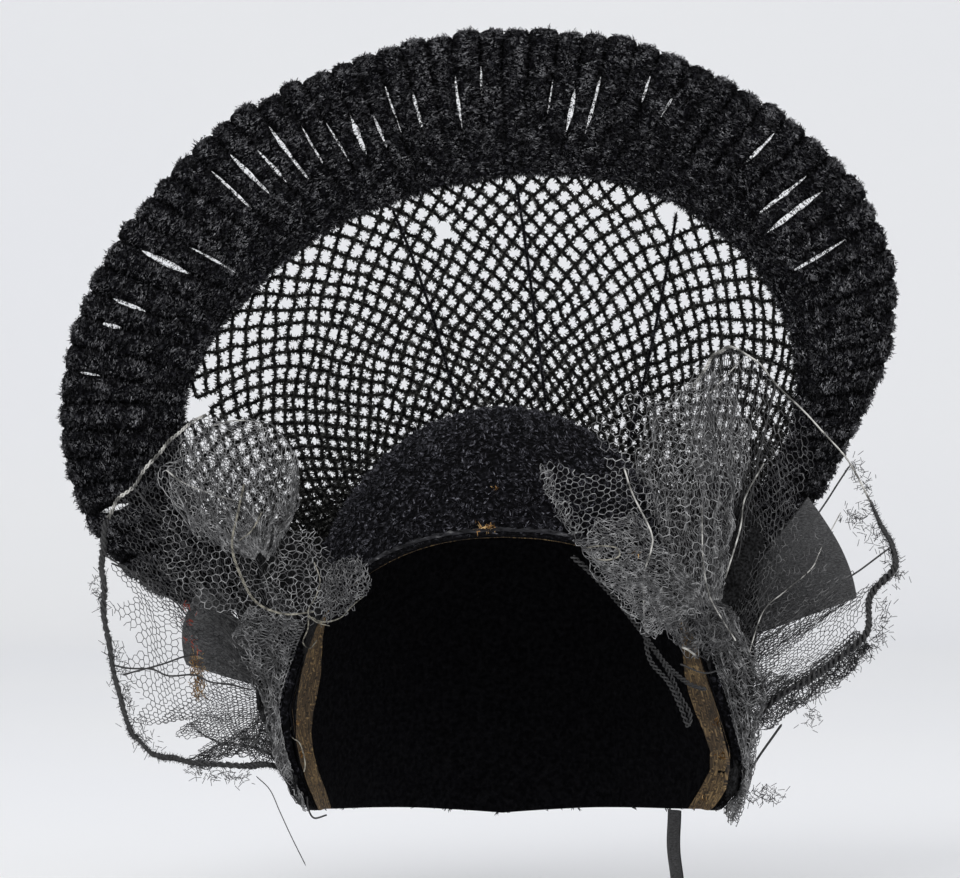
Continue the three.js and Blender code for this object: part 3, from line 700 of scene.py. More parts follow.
def scaled_sum(nodes, links, value, scale, added):
    """One value times a scale, plus another value."""
    total = nodes.new("ShaderNodeMath")
    total.operation = "MULTIPLY_ADD"
    links.new(value, total.inputs[0])
    total.inputs[1].default_value = scale
    links.new(added, total.inputs[2])
    return total.outputs[0]


def set_colour(nodes, links, shader, value, stops, roughness, gloss=0.5):
    """The colour from a ramp over this value, and how rough and glossy the surface is."""
    ramp = add_ramp(nodes, stops)
    links.new(value, ramp.inputs["Fac"])
    links.new(ramp.outputs["Color"], shader.inputs["Base Color"])
    shader.inputs["Roughness"].default_value = roughness
    shader.inputs["Specular IOR Level"].default_value = gloss


def pile_material(name, stops, roughness, patch=700, painted_valley_shade=0.0):
    """Fibres that differ from one to the next, as each is an island, and from patch to patch, and
    that can be painted darker in the valleys between cords, as painted shade."""
    material, nodes, links, shader = new_material(name)
    geometry = nodes.new("ShaderNodeNewGeometry")
    noise = add_noise(nodes, links, patch, 1)
    each_fibre = geometry.outputs["Random Per Island"]
    shade = scaled_sum(nodes, links, each_fibre, FIBRE_SHADE, noise.outputs["Fac"])
    # Painted shade, darker with each fibre's depth into a valley, which the cloth UV carries
    if painted_valley_shade:
        uv = nodes.new("ShaderNodeUVMap")
        uv.uv_map = "cloth"
        split = nodes.new("ShaderNodeSeparateXYZ")
        links.new(uv.outputs["UV"], split.inputs[0])
        shade = scaled_sum(nodes, links, split.outputs["X"], -painted_valley_shade, shade)
    set_colour(nodes, links, shader, shade, stops, roughness, PILE_GLOSS)
    return material


def cloth_material(name, stops, scale, bump, roughness, gloss=0.5, stretch=None):
    """A ground of cloth or wire, its colour and relief from one noise."""
    material, nodes, links, shader = new_material(name)
    noise = add_noise(nodes, links, scale, stretch=stretch)
    set_colour(nodes, links, shader, noise.outputs["Fac"], stops, roughness, gloss)
    add_bump(nodes, links, shader, noise.outputs["Fac"], bump)
    return material


def straw_material():
    """Woven splints: bands across and down that pass over and under, streaked along their length."""
    material, nodes, links, shader = new_material("straw")
    uv = nodes.new("ShaderNodeUVMap")
    uv.uv_map = "cloth"
    checker = nodes.new("ShaderNodeTexChecker")
    checker.inputs["Scale"].default_value = SPLINTS
    links.new(uv.outputs["UV"], checker.inputs["Vector"])
    upright = add_noise(nodes, links, 1, 3, STRAW_UPRIGHT_GRAIN, uv.outputs["UV"])
    level = add_noise(nodes, links, 1, 3, STRAW_LEVEL_GRAIN, uv.outputs["UV"])
    patch = add_noise(nodes, links, STRAW_PATCHES)
    weave = nodes.new("ShaderNodeMix")
    links.new(checker.outputs["Fac"], weave.inputs["Factor"])
    links.new(upright.outputs["Fac"], weave.inputs["A"])
    links.new(level.outputs["Fac"], weave.inputs["B"])
    aged = scaled_sum(nodes, links, patch.outputs["Fac"], STRAW_PATCH_SHARE, weave.outputs["Result"])
    set_colour(nodes, links, shader, aged, STRAW_COLOURS, roughness=0.7)
    add_bump(nodes, links, shader, weave.outputs["Result"], STRAW_RELIEF)
    return material


def crepe_material(name, dark, pale):
    """Dull crinkled crepe, from its dark grain to its pale."""
    material, nodes, links, shader = new_material(name)
    grain = add_noise(nodes, links, 1, 2, CREPE_GRAIN)
    set_colour(nodes, links, shader, grain.outputs["Fac"], [(0.3, dark), (0.7, pale)], roughness=0.9)
    add_bump(nodes, links, shader, grain.outputs["Fac"], CREPE_RELIEF)
    return material


# Chenille and net are black: the palest stops of their grounds and piles are painted highlights
BLACK = (0.0012, 0.0012, 0.0015)
chenille_ground = cloth_material(
    "chenille_ground", [(0.45, BLACK), (0.62, (0.006, 0.006, 0.0075)), (0.8, (0.045, 0.045, 0.052))],
    620, 0.002, 1, 0.05)
net_ground = cloth_material(
    "net_ground", [(0.4, BLACK), (0.6, (0.012, 0.012, 0.011)), (0.8, (0.04, 0.04, 0.038))],
    700, 0.001, 1, 0.05)
net_pile = pile_material(
    "net_pile",
    [(0.45, (0.004, 0.004, 0.004)), (0.7, (0.014, 0.014, 0.013)), (0.86, (0.045, 0.045, 0.042)),
     (1, (0.12, 0.12, 0.115))], 0.75)
# The rim's pile is painted darker in the valleys between cords, as painted shade
rim_pile = pile_material(
    "rim_pile",
    [(0.36, (0.0015, 0.0015, 0.002)), (0.57, (0.011, 0.011, 0.013)), (0.74, (0.055, 0.055, 0.06)),
     (0.95, (0.2, 0.2, 0.21))], 0.75, 200, PAINTED_VALLEY_SHADE)
chenille_pile = pile_material(
    "chenille_pile",
    [(0.45, (0.002, 0.002, 0.0025)), (0.7, (0.009, 0.009, 0.0105)), (0.86, (0.04, 0.04, 0.045)),
     (1, (0.12, 0.12, 0.13))], 0.75)
cap_pile = pile_material(
    "cap_pile",
    [(0.45, (0.002, 0.002, 0.003)), (0.68, (0.012, 0.012, 0.016)), (0.84, (0.05, 0.05, 0.06)),
     (1, (0.14, 0.14, 0.16))], 0.75)
tulle_thread = pile_material(
    "tulle_thread",
    [(0.35, (0.035, 0.035, 0.036)), (0.7, (0.11, 0.11, 0.112)), (1, (0.32, 0.32, 0.32))], 0.6, 250)
tulle_dark = pile_material(
    "tulle_dark",
    [(0.35, (0.02, 0.02, 0.021)), (0.7, (0.065, 0.065, 0.067)), (1, (0.2, 0.2, 0.2))], 0.6, 250)
tulle_black = pile_material(
    "tulle_black",
    [(0.35, (0.012, 0.012, 0.013)), (0.7, (0.04, 0.04, 0.042)), (1, (0.13, 0.13, 0.13))], 0.6, 250)
worn_cord = cloth_material(
    "worn_cord", [(0.35, (0.03, 0.028, 0.022)), (0.65, (0.26, 0.245, 0.2))], 420, 0.0002, 0.7)
straw = straw_material()
nape = cloth_material(
    "nape", [(0.35, (0.001, 0.001, 0.0015)), (0.75, (0.006, 0.006, 0.007))], 500, 0.001, 1, 0.05)
straw_ends = pile_material(
    "straw_ends", [(0.35, (0.06, 0.03, 0.01)), (0.7, (0.25, 0.13, 0.04)), (1, (0.6, 0.42, 0.2))], 0.5, 300)
crepe = crepe_material("crepe", (0.014, 0.014, 0.0145), (0.072, 0.072, 0.074))
# Painted light: the left loop's crepe is the same crepe painted paler, a lit copy of it
painted_light_crepe = crepe_material("painted_light_crepe", (0.04, 0.04, 0.041), (0.14, 0.142, 0.145))
# Painted shade: the crepe behind the rosettes, painted far darker than the loops' crepe
shaded_crepe = cloth_material(
    "shaded_crepe", [(0.35, (0.002, 0.002, 0.002)), (0.7, (0.02, 0.02, 0.021))], 900, 0.0005, 1, 0.1)
binding = cloth_material(
    "binding", [(0.42, (0.004, 0.004, 0.005)), (0.6, (0.022, 0.022, 0.025)), (0.78, (0.13, 0.13, 0.13))],
    520, 0.0008, 0.9, 0.2, (0.3, 1, 1))
dark_wire = cloth_material(
    "dark_wire", [(0.35, (0.004, 0.004, 0.004)), (0.7, (0.022, 0.022, 0.023))], 1500, 0.0002, 0.6)
bare_wire = cloth_material(
    "bare_wire", [(0.42, (0.07, 0.068, 0.062)), (0.62, (0.5, 0.49, 0.46))], 160, 0.0001, 0.35)
red_thread = pile_material("red_thread", [(0.35, (0.2, 0.03, 0.02)), (1, (0.42, 0.09, 0.06))], 0.7)


# The camera, the light and the floor

def add_camera():
    data = bpy.data.cameras.new("camera")
    data.sensor_width = SENSOR_WIDTH
    data.lens = data.sensor_width * CAMERA_DISTANCE / PHOTO_SPAN
    camera = bpy.data.objects.new("camera", data)
    camera.location = (CAMERA_ACROSS, CAMERA_BACK, CAMERA_UP)
    camera.rotation_euler = (math.pi / 2, 0, 0)
    bpy.context.scene.collection.objects.link(camera)
    bpy.context.scene.camera = camera


def add_light(name, location, size, power):
    data = bpy.data.lights.new(name, "AREA")
    data.size = size
    data.energy = power
    light = bpy.data.objects.new(name, data)
    light.location = location
    aim = -light.location
    light.rotation_euler = aim.to_track_quat("-Z", "Y").to_euler()
    bpy.context.scene.collection.objects.link(light)


def add_stage():
    """A pale floor that sweeps up behind the bonnet without an edge."""
    height = solid_box[0][2] - FLOOR_BELOW
    turn = np.linspace(0, math.pi / 2, 24)
    sweep_back = FLOOR_BACK + FLOOR_BEND * np.sin(turn)
    sweep_up = height + FLOOR_BEND * (1 - np.cos(turn))
    profile = [(FLOOR_FRONT, height), *zip(sweep_back, sweep_up), (FLOOR_BACK + FLOOR_BEND, FLOOR_TOP)]
    grid = np.array([[(x, y, z) for y, z in profile] for x in (-FLOOR_HALF_WIDTH, FLOOR_HALF_WIDTH)])
    points, triangles = grid_part(grid)
    mesh = bpy.data.meshes.new("floor")
    mesh.from_pydata(points.tolist(), [], triangles.tolist())
    for polygon in mesh.polygons:
        polygon.use_smooth = True
    material, nodes, links, shader = new_material("paper")
    noise = add_noise(nodes, links, FLOOR_PATCHES)
    set_colour(nodes, links, shader, noise.outputs["Fac"], FLOOR_COLOURS, roughness=0.9)
    mesh.materials.append(material)
    floor = bpy.data.objects.new("floor", mesh)
    bpy.context.scene.collection.objects.link(floor)


def set_light():
    scene = bpy.context.scene
    scene.view_settings.view_transform = "Standard"
    world = bpy.data.worlds.new("studio")
    world.use_nodes = True
    background = world.node_tree.nodes["Background"]
    background.inputs["Color"].default_value = SKY
    background.inputs["Strength"].default_value = SKY_STRENGTH
    scene.world = world
    add_light("key", location=(-0.9, -1.6, 1.5), size=1.2, power=26)
    add_light("fill", location=(1.4, -1.5, 0.5), size=1.4, power=12)


add_camera()
add_stage()
set_light()


# The cap

def add_lining():
    """Near-black lining at the nape, and the straw stiffener that lines the brow and both flaps."""
    rng = np.random.default_rng(10)
    columns, rows = 90, 24
    inner, outer = (cap_grid(columns, rows, offset) for offset in (STRAW_WALL, LINING_WALL))
    edge = np.stack([inner[:, -1], outer[:, -1]], 1)
    add_piece("lining", [flipped(grid_part(inner)), grid_part(outer), grid_part(edge)], nape,
              ["cap_lining"])
    share = np.linspace(STRAW_TOP, 1, rows + 1)[None, :]
    reach = STRAW_AZIMUTH + waves(9, STRAW_STRAY, rng)(share, 0 * share)
    azimuth = np.linspace(-1, 1, columns + 1)[:, None] * reach
    drop = swept_drop(share, read(HEM, "azimuth", "drop", np.abs(azimuth)))
    buckle = waves(12, STRAW_BUCKLE, rng)(azimuth / STRAW_AZIMUTH, share + 0 * azimuth)
    sheet = head_point(azimuth, drop, STRAW_WALL / 3 + buckle)
    cloth = np.stack([np.radians(azimuth) * HEAD_HALF_WIDTH, drop * CAP_DEPTH], -1).reshape(-1, 2)
    add_piece("lining_straw", [flipped(grid_part(sheet))], straw, ["cap_lining"], uv=cloth)


def add_cover():
    """The cap's chenille: its ground, and a pile of short curls all over its outside."""
    rng = np.random.default_rng(11)
    columns, rows = 150, 40
    outer = cap_grid(columns, rows, COVER_OUTER - PILE_SUNK)
    inner = cap_grid(columns, rows * 3 // 5, COVER_INNER)
    edge = np.stack([inner[:, -1], outer[:, -1]], 1)
    add_piece("cover", [grid_part(outer), flipped(grid_part(inner)), grid_part(edge)],
              chenille_ground, ["cap_cover"])
    place, normal, across, down = scatter(outer, CAP_TUFTS, rng)[:4]
    outwards = unit(place - [0, 0, -CROWN_HEIGHT])
    normal = normal * np.sign((normal * outwards).sum(-1, keepdims=True))
    turn = rng.uniform(0, 2 * math.pi, (CAP_TUFTS, 1))
    direction = normal * rng.uniform(*CAP_STAND, (CAP_TUFTS, 1))
    direction = direction + across * np.cos(turn) + down * np.sin(turn)
    pile = tufts(place, direction, CAP_FIBRE * rng.uniform(*CAP_FIBRE_LENGTHS, CAP_TUFTS), FIBRE_WIDTH, rng)
    add_piece("cover_pile", [pile], cap_pile, ["cap_cover"], smooth=False)


# Where the straw shows through at the brow: azimuth, drop as a share of the hem's, reach, ends
WORN = table(
    "azimuth share reach ends",
    (-6, 0.985, 0.0034, 60), (-3.5, 0.8, 0.0014, 12), (44, 0.97, 0.003, 30), (-93, 0.84, 0.003, 40),
    (-94, 0.9, 0.003, 30), (93, 0.84, 0.003, 40), (96, 0.9, 0.004, 50), (104, 0.98, 0.003, 24),
)


def add_worn_spots():
    rng = np.random.default_rng(12)
    parts = []
    for azimuth, share, reach, ends in zip(*WORN.values()):
        count = int(ends)
        hem = read(HEM, "azimuth", "drop", abs(azimuth))
        above = COVER_OUTER if abs(azimuth) < 90 else 0
        centre = head_point(azimuth, swept_drop(share, hem), above)
        root = centre + rng.normal(0, reach / 2, (count, 3)) * STRAW_END_SCATTER
        direction = rng.normal(size=(count, 3)) * STRAW_END_SWING + STRAW_END_LEAN
        length = rng.uniform(*STRAW_END_LENGTHS, count) * reach
        parts.append(fibres(root, direction, length, STRAW_END_WIDTH, rng))
    add_piece("worn_straw", parts, straw_ends, smooth=False)


def add_brow_binding():
    """A narrow fold of crepe along the brow's edge."""
    azimuth = np.linspace(-BINDING_AZIMUTH, BINDING_AZIMUTH, 91)[:, None]
    out = np.linspace(0, 1, 5)[None, :]
    hem = read(HEM, "azimuth", "drop", np.abs(azimuth))
    rng = np.random.default_rng(13)
    stray = waves(BINDING_WAVES, BINDING_RAGGED, rng)
    ragged = stray(azimuth / BINDING_AZIMUTH + 0 * out, 0 * azimuth + out)
    drop = hem * (BINDING_START + BINDING_DEPTH * out) + ragged * (1 - out)
    above = COVER_OUTER + BINDING_ABOVE + BINDING_ROUND * np.sin(math.pi * out)
    add_piece("brow_binding", [grid_part(head_point(azimuth + 0 * out, drop, above))], binding)


# The wheel

def add_net():
    rng = np.random.default_rng(21)
    step, level = np.meshgrid(np.arange(NET_ACROSS + 1), np.arange(NET_UP + 1), indexing="ij")
    rise = level / NET_UP
    share = rise * (1 - NET_CROWDING + NET_CROWDING * rise)
    turn = WHEEL["turn"][0] + (WHEEL["turn"][-1] - WHEEL["turn"][0]) * step / NET_ACROSS
    drift = waves(5, NET_DRIFT, rng)(step / NET_ACROSS, rise)
    sway = waves(5, NET_SWAY, rng)(step / NET_ACROSS, rise)
    inside = np.sin(math.pi * rise) ** 0.5
    joint = wheel_point(turn + drift * inside, share + sway * inside)
    joint += rng.normal(0, NET_JITTER, joint.shape) * [1, 0.6, 1]
    rises = (step[:-1, :-1] + level[:-1, :-1]) % 2 == 0
    start = np.where(rises[..., None], joint[:-1, :-1], joint[1:, :-1]).reshape(-1, 3)
    end = np.where(rises[..., None], joint[1:, 1:], joint[:-1, 1:]).reshape(-1, 3)
    middle = (start + end) / 2
    whole = np.ones(len(start), bool)
    for tear_turn, tear_share, reach in zip(*TEARS.values()):
        tear = wheel_point(tear_turn, tear_share)
        whole &= np.linalg.norm(middle - tear, axis=1) > reach
    start, end = start[whole], end[whole]
    run = end - start
    bow = rng.normal(0, NET_BOW, start.shape)
    middle = (start + end) / 2 + bow
    cords = [prisms(start, middle, NET_CORE, 4), prisms(middle, end, NET_CORE, 4)]
    count = len(start) * NET_CLUMPS * NET_FIBRES
    bar = np.repeat(np.arange(len(start)), NET_CLUMPS * NET_FIBRES)
    clump = np.tile(np.repeat(np.arange(NET_CLUMPS), NET_FIBRES), len(start))[:, None]
    along = (clump + 0.5) / NET_CLUMPS + rng.normal(0, NET_CLUMP_STRAY, (count, 1))
    root = start[bar] + run[bar] * along + bow[bar] * 2 * np.minimum(along, 1 - along)
    sideways = unit(np.cross(run, BACKWARDS))[bar] * rng.choice([-1, 1], (count, 1))
    direction = sideways + BACKWARDS * rng.normal(0, NET_FIBRE_STAND, (count, 1))
    direction = direction + unit(run)[bar] * rng.normal(0, NET_FIBRE_LEAN, (count, 1))
    length = NET_FIBRE * rng.uniform(*NET_FIBRE_LENGTHS, count)
    fringe = fibres(root, direction, length, NET_FIBRE_WIDTH, rng)
    add_piece("net_cords", cords, net_ground, ["wheel_net"])
    add_piece("net_fringe", [fringe], net_pile, ["wheel_net"], smooth=False)


def add_ribs():
    rng = np.random.default_rng(22)
    for name, (foot, middle, head) in RIBS.items():
        s = np.linspace(RIB_FOOT, RIB_HEAD, 60)
        turn = foot * (2 * s - 1) * (s - 1) + middle * 4 * s * (1 - s) + head * s * (2 * s - 1)
        path = wheel_point(turn, s) - BACKWARDS * (NET_WALL / 2 + RIB_WIRE + 2 * GAP)
        wrap = fuzz(path, 0, RIB_FIBRES, RIB_FIBRE_LENGTHS, FIBRE_WIDTH, rng)
        add_piece(name + "_wire", [tube(path, RIB_WIRE)], chenille_ground, [name])
        add_piece(name + "_wrap", [wrap], chenille_pile, [name], smooth=False)


def slit_at(valley, pitch):
    """The slit at a valley between cords, if there is one."""
    turn = WHEEL["turn"][0] + valley * pitch
    for row in range(len(SLITS["turn"])):
        if abs(SLITS["turn"][row] - turn) <= pitch / 2:
            return {name: SLITS[name][row] for name in SLITS}
    return None


def rim_shape():
    """The rim's cords as grids of points for front and back, how near each cell is to a cord's crest,
    and the cells that are open slits."""
    rng = np.random.default_rng(23)
    pitch = (WHEEL["turn"][-1] - WHEEL["turn"][0]) / RIM_CORDS
    share = np.sin(np.linspace(0, math.pi / 2, RIM_ROWS + 1)) ** RIM_CROWDING
    across = np.array(CORD_PROFILE)
    valleys = np.arange(RIM_CORDS + 1)
    wander = np.stack([waves(2, CORD_WANDER, rng)(share, 0 * share) for valley in valleys])
    wander[[0, -1]] = 0
    half_open = np.full((RIM_CORDS + 1, RIM_ROWS + 1), CORD_APART)
    is_open = np.zeros((RIM_CORDS + 1, RIM_ROWS), bool)
    crossings = []
    degree = WHEEL_RADIUS * math.pi / 180
    for valley in valleys[1:-1]:
        slit = slit_at(valley, pitch)
        if slit is None:
            continue
        middle, half = (slit["from"] + slit["to"]) / 2, (slit["to"] - slit["from"]) / 2
        lens = np.sqrt(np.clip(1 - ((share - middle) / half) ** 2, 0, 1))
        half_width = SLIT_OPEN * slit["open"] / 2 / (pitch * degree)
        ragged = rng.uniform(*SLIT_RAGGED, RIM_ROWS + 1)
        half_open[valley] = np.maximum(half_open[valley], lens * half_width * ragged)
        centre = (share[1:] + share[:-1]) / 2
        is_open[valley] = np.abs(centre - middle) < half
        crossings.append((valley, slit))
    low = valleys[:-1, None] + wander[:-1] + half_open[:-1]
    high = valleys[1:, None] + wander[1:] - half_open[1:]
    place = low[:, None, :] + (high - low)[:, None, :] * across[None, :, None]
    round_off = np.sqrt(1 - (2 * across - 1) ** 2)[None, :, None]
    merged = 1 - smooth_step(MERGED_FROM, MERGED_TO, share)[None, None, :]
    round_off = round_off + (MERGED_ROUND - round_off) * merged * MERGED_SHARE
    size = rng.uniform(*CORD_SIZES, (RIM_CORDS, 1, 1))
    thick = CORD_VALLEY + (CORD_CREST - CORD_VALLEY) * round_off * size
    past = np.maximum(share - (1 - CORD_END), 0) / CORD_END
    ending = np.sqrt(np.clip(1 - past ** 2, CORD_END_LEAST, 1))
    thick = thick * ending * (CORD_FOOT + (1 - CORD_FOOT) * smooth_step(0, CORD_FOOT_REACH, share))
    reach = CORD_TIP * (2 * round_off - 1) + rng.normal(0, CORD_TIP_STRAY, (RIM_CORDS, 1, 1))
    turn = WHEEL["turn"][0] + place * pitch
    middle = wheel_point(turn, 1 + np.maximum(share, 1e-6) * (1 + reach))
    offset = thick[..., None] * BACKWARDS
    columns = RIM_CORDS * len(across)
    front = (middle - offset).reshape(columns, RIM_ROWS + 1, 3)
    back = (middle + offset).reshape(columns, RIM_ROWS + 1, 3)
    keep = np.ones((columns - 1, RIM_ROWS), bool)
    joins = np.arange(1, RIM_CORDS) * len(across) - 1
    keep[joins] = ~is_open[1:-1]
    crest = np.broadcast_to(round_off, place.shape).reshape(columns, RIM_ROWS + 1)
    crest = (crest[:-1, :-1] + crest[1:, :-1] + crest[1:, 1:] + crest[:-1, 1:]) / 4
    return front, back, crest, keep, crossings, pitch


def add_rim():
    """The rim: its cords, the pile over them and over its inner edge, and the threads in its slits."""
    rng = np.random.default_rng(24)
    front, back, crest, keep, crossings, pitch = rim_shape()
    inner = np.stack([front[:, 0], back[:, 0]], 1)
    add_piece("rim_cords", [flipped(grid_part(front, keep)), grid_part(back, keep), grid_part(inner)],
              chenille_ground, ["wheel_rim"])
    for name, grid, towards, count in (
            ("front", front, -1, RIM_TUFTS_FRONT), ("back", back, 1, RIM_TUFTS_BACK)):
        place, normal, across, down, cell = scatter(grid, count, rng, keep * (RIM_VALLEY_PILE + crest))
        normal = normal * np.sign(normal[:, 1:2]) * towards
        swing = rng.normal(0, RIM_SWING, (count, 1))
        direction = normal * rng.uniform(*RIM_STAND, (count, 1)) + across * swing
        direction = direction + down * rng.normal(0, RIM_STRAY, (count, 1))
        high = crest[cell]
        length = CORD_FIBRE * rng.uniform(*RIM_FIBRE_LENGTHS, count) * (RIM_VALLEY_LENGTH + high)
        pile = tufts(place, direction, length, CORD_FIBRE_WIDTH, rng)
        # Each tuft's depth into a valley, which paints the rim's pile darker there as painted shade
        depth = np.repeat(1 - high, 3 * TUFT_FIBRES)
        add_piece(f"rim_pile_{name}", [pile], rim_pile, ["wheel_rim"], smooth=False,
                  uv=np.stack([depth, 0 * depth], 1))
    place = scatter(inner, RIM_TUFTS_INNER, rng)[0]
    inwards = unit([WHEEL_ACROSS, 0, WHEEL_UP] - place * [1, 0, 1])
    direction = inwards + rng.normal(0, INNER_STRAY, place.shape)
    length = INNER_FIBRE * rng.uniform(*INNER_LENGTHS, RIM_TUFTS_INNER)
    pile = tufts(place, direction, length, CORD_FIBRE_WIDTH, rng)
    add_piece("rim_pile_inner", [pile], chenille_pile, ["wheel_rim"], smooth=False)
    parts = []
    for valley, slit in crossings:
        count = int(slit["threads"] * SLIT_THREADS_EACH)
        share = rng.uniform(slit["from"], slit["to"], count)
        side = rng.choice([-1, 1], count)
        half = np.degrees(slit["open"] / 2 / WHEEL_RADIUS)
        turn = WHEEL["turn"][0] + valley * pitch
        start = wheel_point(turn + side * half, 1 + share)
        far_turn = turn - side * half * rng.uniform(*SLIT_CROSSED, count)
        end = wheel_point(far_turn, 1 + share + rng.normal(0, SLIT_STRAY, count))
        parts.append(prisms(start, end, SLIT_THREAD))
        share = rng.uniform(slit["from"], slit["to"], SLIT_FIBRES)
        side = rng.choice([-1, 1], SLIT_FIBRES)
        start = wheel_point(turn + side * half, 1 + share) - BACKWARDS * CORD_VALLEY
        end = wheel_point(turn - side * half, 1 + share + rng.normal(0, SLIT_FIBRE_STRAY, SLIT_FIBRES))
        length = slit["open"] * rng.uniform(*SLIT_FIBRE_LENGTHS, SLIT_FIBRES)
        parts.append(fibres(start, end - start, length, CORD_FIBRE_WIDTH, rng))
    add_piece("rim_ladder", parts, chenille_pile, ["wheel_rim"], smooth=False)


# Tulle

def hexagons(width, length, pitch):
    """A flat net of hexagons: where its threads meet, and the pairs of meeting points they join."""
    edge = pitch / math.sqrt(3)
    across, down = int(round(2 * width / pitch)), int(round(length / (ROW_PITCH * edge)))
    i, j = np.meshgrid(np.arange(across + 1), np.arange(down + 1), indexing="ij")
    x = i * pitch / 2
    y = j * ROW_PITCH * edge + ((i + j) % 2) * edge / 2
    at = i * (down + 1) + j
    zigzag = np.stack([at[:-1].ravel(), at[1:].ravel()], 1)
    upright = (i + j)[:, :-1] % 2 == 1
    rungs = np.stack([at[:, :-1][upright], at[:, 1:][upright]], 1)
    along = np.minimum(x.ravel() / width, 1)
    return along, np.minimum(y.ravel() / length, 1), np.concatenate([zigzag, rungs])


def tulle_part(surface, flat, pitch, thread, seed, keep=None):
    """Tulle over a surface that takes shares along and out: threads, some broken, none where cut away."""
    rng = np.random.default_rng(seed)
    along, out, pairs = hexagons(*flat, pitch)
    whole = rng.random(len(pairs)) > LOOSE
    if keep is not None:
        kept = keep(along, out)
        whole &= kept[pairs[:, 0]] & kept[pairs[:, 1]]
    pairs = pairs[whole]
    points = surface(along, out) + rng.normal(0, pitch / CELLS_TO_STRAY, (len(along), 3))
    return prisms(points[pairs[:, 0]], points[pairs[:, 1]], thread)


def add_tulle(name, parts, flat, layers, pitch, cut, material, nodes=()):
    """A piece of tulle: cut is how much of the oblong is left, and it is not used."""
    piece = add_piece(name, parts, material, nodes, smooth=False)


# The wings

def wing_hub(side):
    return head_point(side * WING_HUB_AZIMUTH, WING_HUB_DROP, COVER_OUTER)


def wing_surface(side, rows, foot_end, fold, seed):
    """Where a wing's tulle lies: along its wire, and out from the flap (0) to the wire (1)."""
    wire_points = from_hub(wing_hub(side), rows)
    folds = len(wire_points) - 1
    crumple = waves(9, WING_CRUMPLE, np.random.default_rng(seed))

    def surface(along, out):
        line = along * foot_end
        azimuth = side * read(FLAP_LINE, "along", "azimuth", line)
        drop = read(FLAP_LINE, "along", "drop", line)
        foot = head_point(azimuth, drop, COVER_OUTER + GAP + TULLE_WALL)
        point = foot + (spline(wire_points, along) - foot) * out[..., None]
        point[..., 1] += WING_BEHIND * out + fold * np.sin(math.pi * out) * np.cos(math.pi * along * folds)
        return point + (crumple(along, out) * np.sin(math.pi * out))[..., None]
    return surface, wire_points


# Where a wing's tulle is torn off: between two shares along its wire, beyond a share out from the
# flap whose edge waves by a ragged share
TORN_LEFT = table(
    "first last beyond ragged turns",
    (0.6, 0.8, 0.66, 0.08, 60), (0.78, 2, 0.5, 0, 0), (0.3, 2, 0.9, 0.06, 90), (0.93, 2, -1, 0, 0),
)
TORN_RIGHT = table(
    "first last beyond ragged turns",
    (0.4, 0.63, 0.72, 0.06, 70), (0.35, 2, 0.96, 0.04, 110), (0.93, 2, -1, 0, 0),
)


def whole_tulle(torn):
    """Where none of the tears of this table reaches."""
    def kept(along, out):
        whole = np.ones(along.shape, bool)
        for first, last, beyond, ragged, turns in zip(*torn.values()):
            whole &= ~((along > first) & (along < last) & (out > beyond + ragged * np.sin(along * turns)))
        return whole
    return kept


def second_layer(keep):
    """Where the tulle lies double: nearer to the flap than to the wire."""
    def kept(along, out):
        return keep(along, out) & (out < DOUBLE_REACH + DOUBLE_RAGGED * np.sin(along * DOUBLE_TURNS))
    return kept


WINGS = named_rows(
    "name side rows foot_end flat pitch torn spokes thick_from seeds",
    ("left", LEFT, WING_LEFT, 0.9, (0.25, 0.086), 0.0026, TORN_LEFT,
     ((3, 0.55), (5, 0.2), (7, 0.15)), 0.3, (31, 32)),
    ("right", RIGHT, WING_RIGHT, 0.55, (0.29, 0.098), 0.003, TORN_RIGHT,
     ((5, 0.3), (7, 0.25), (9, 0.2)), 0.48, (33, 34)),
)


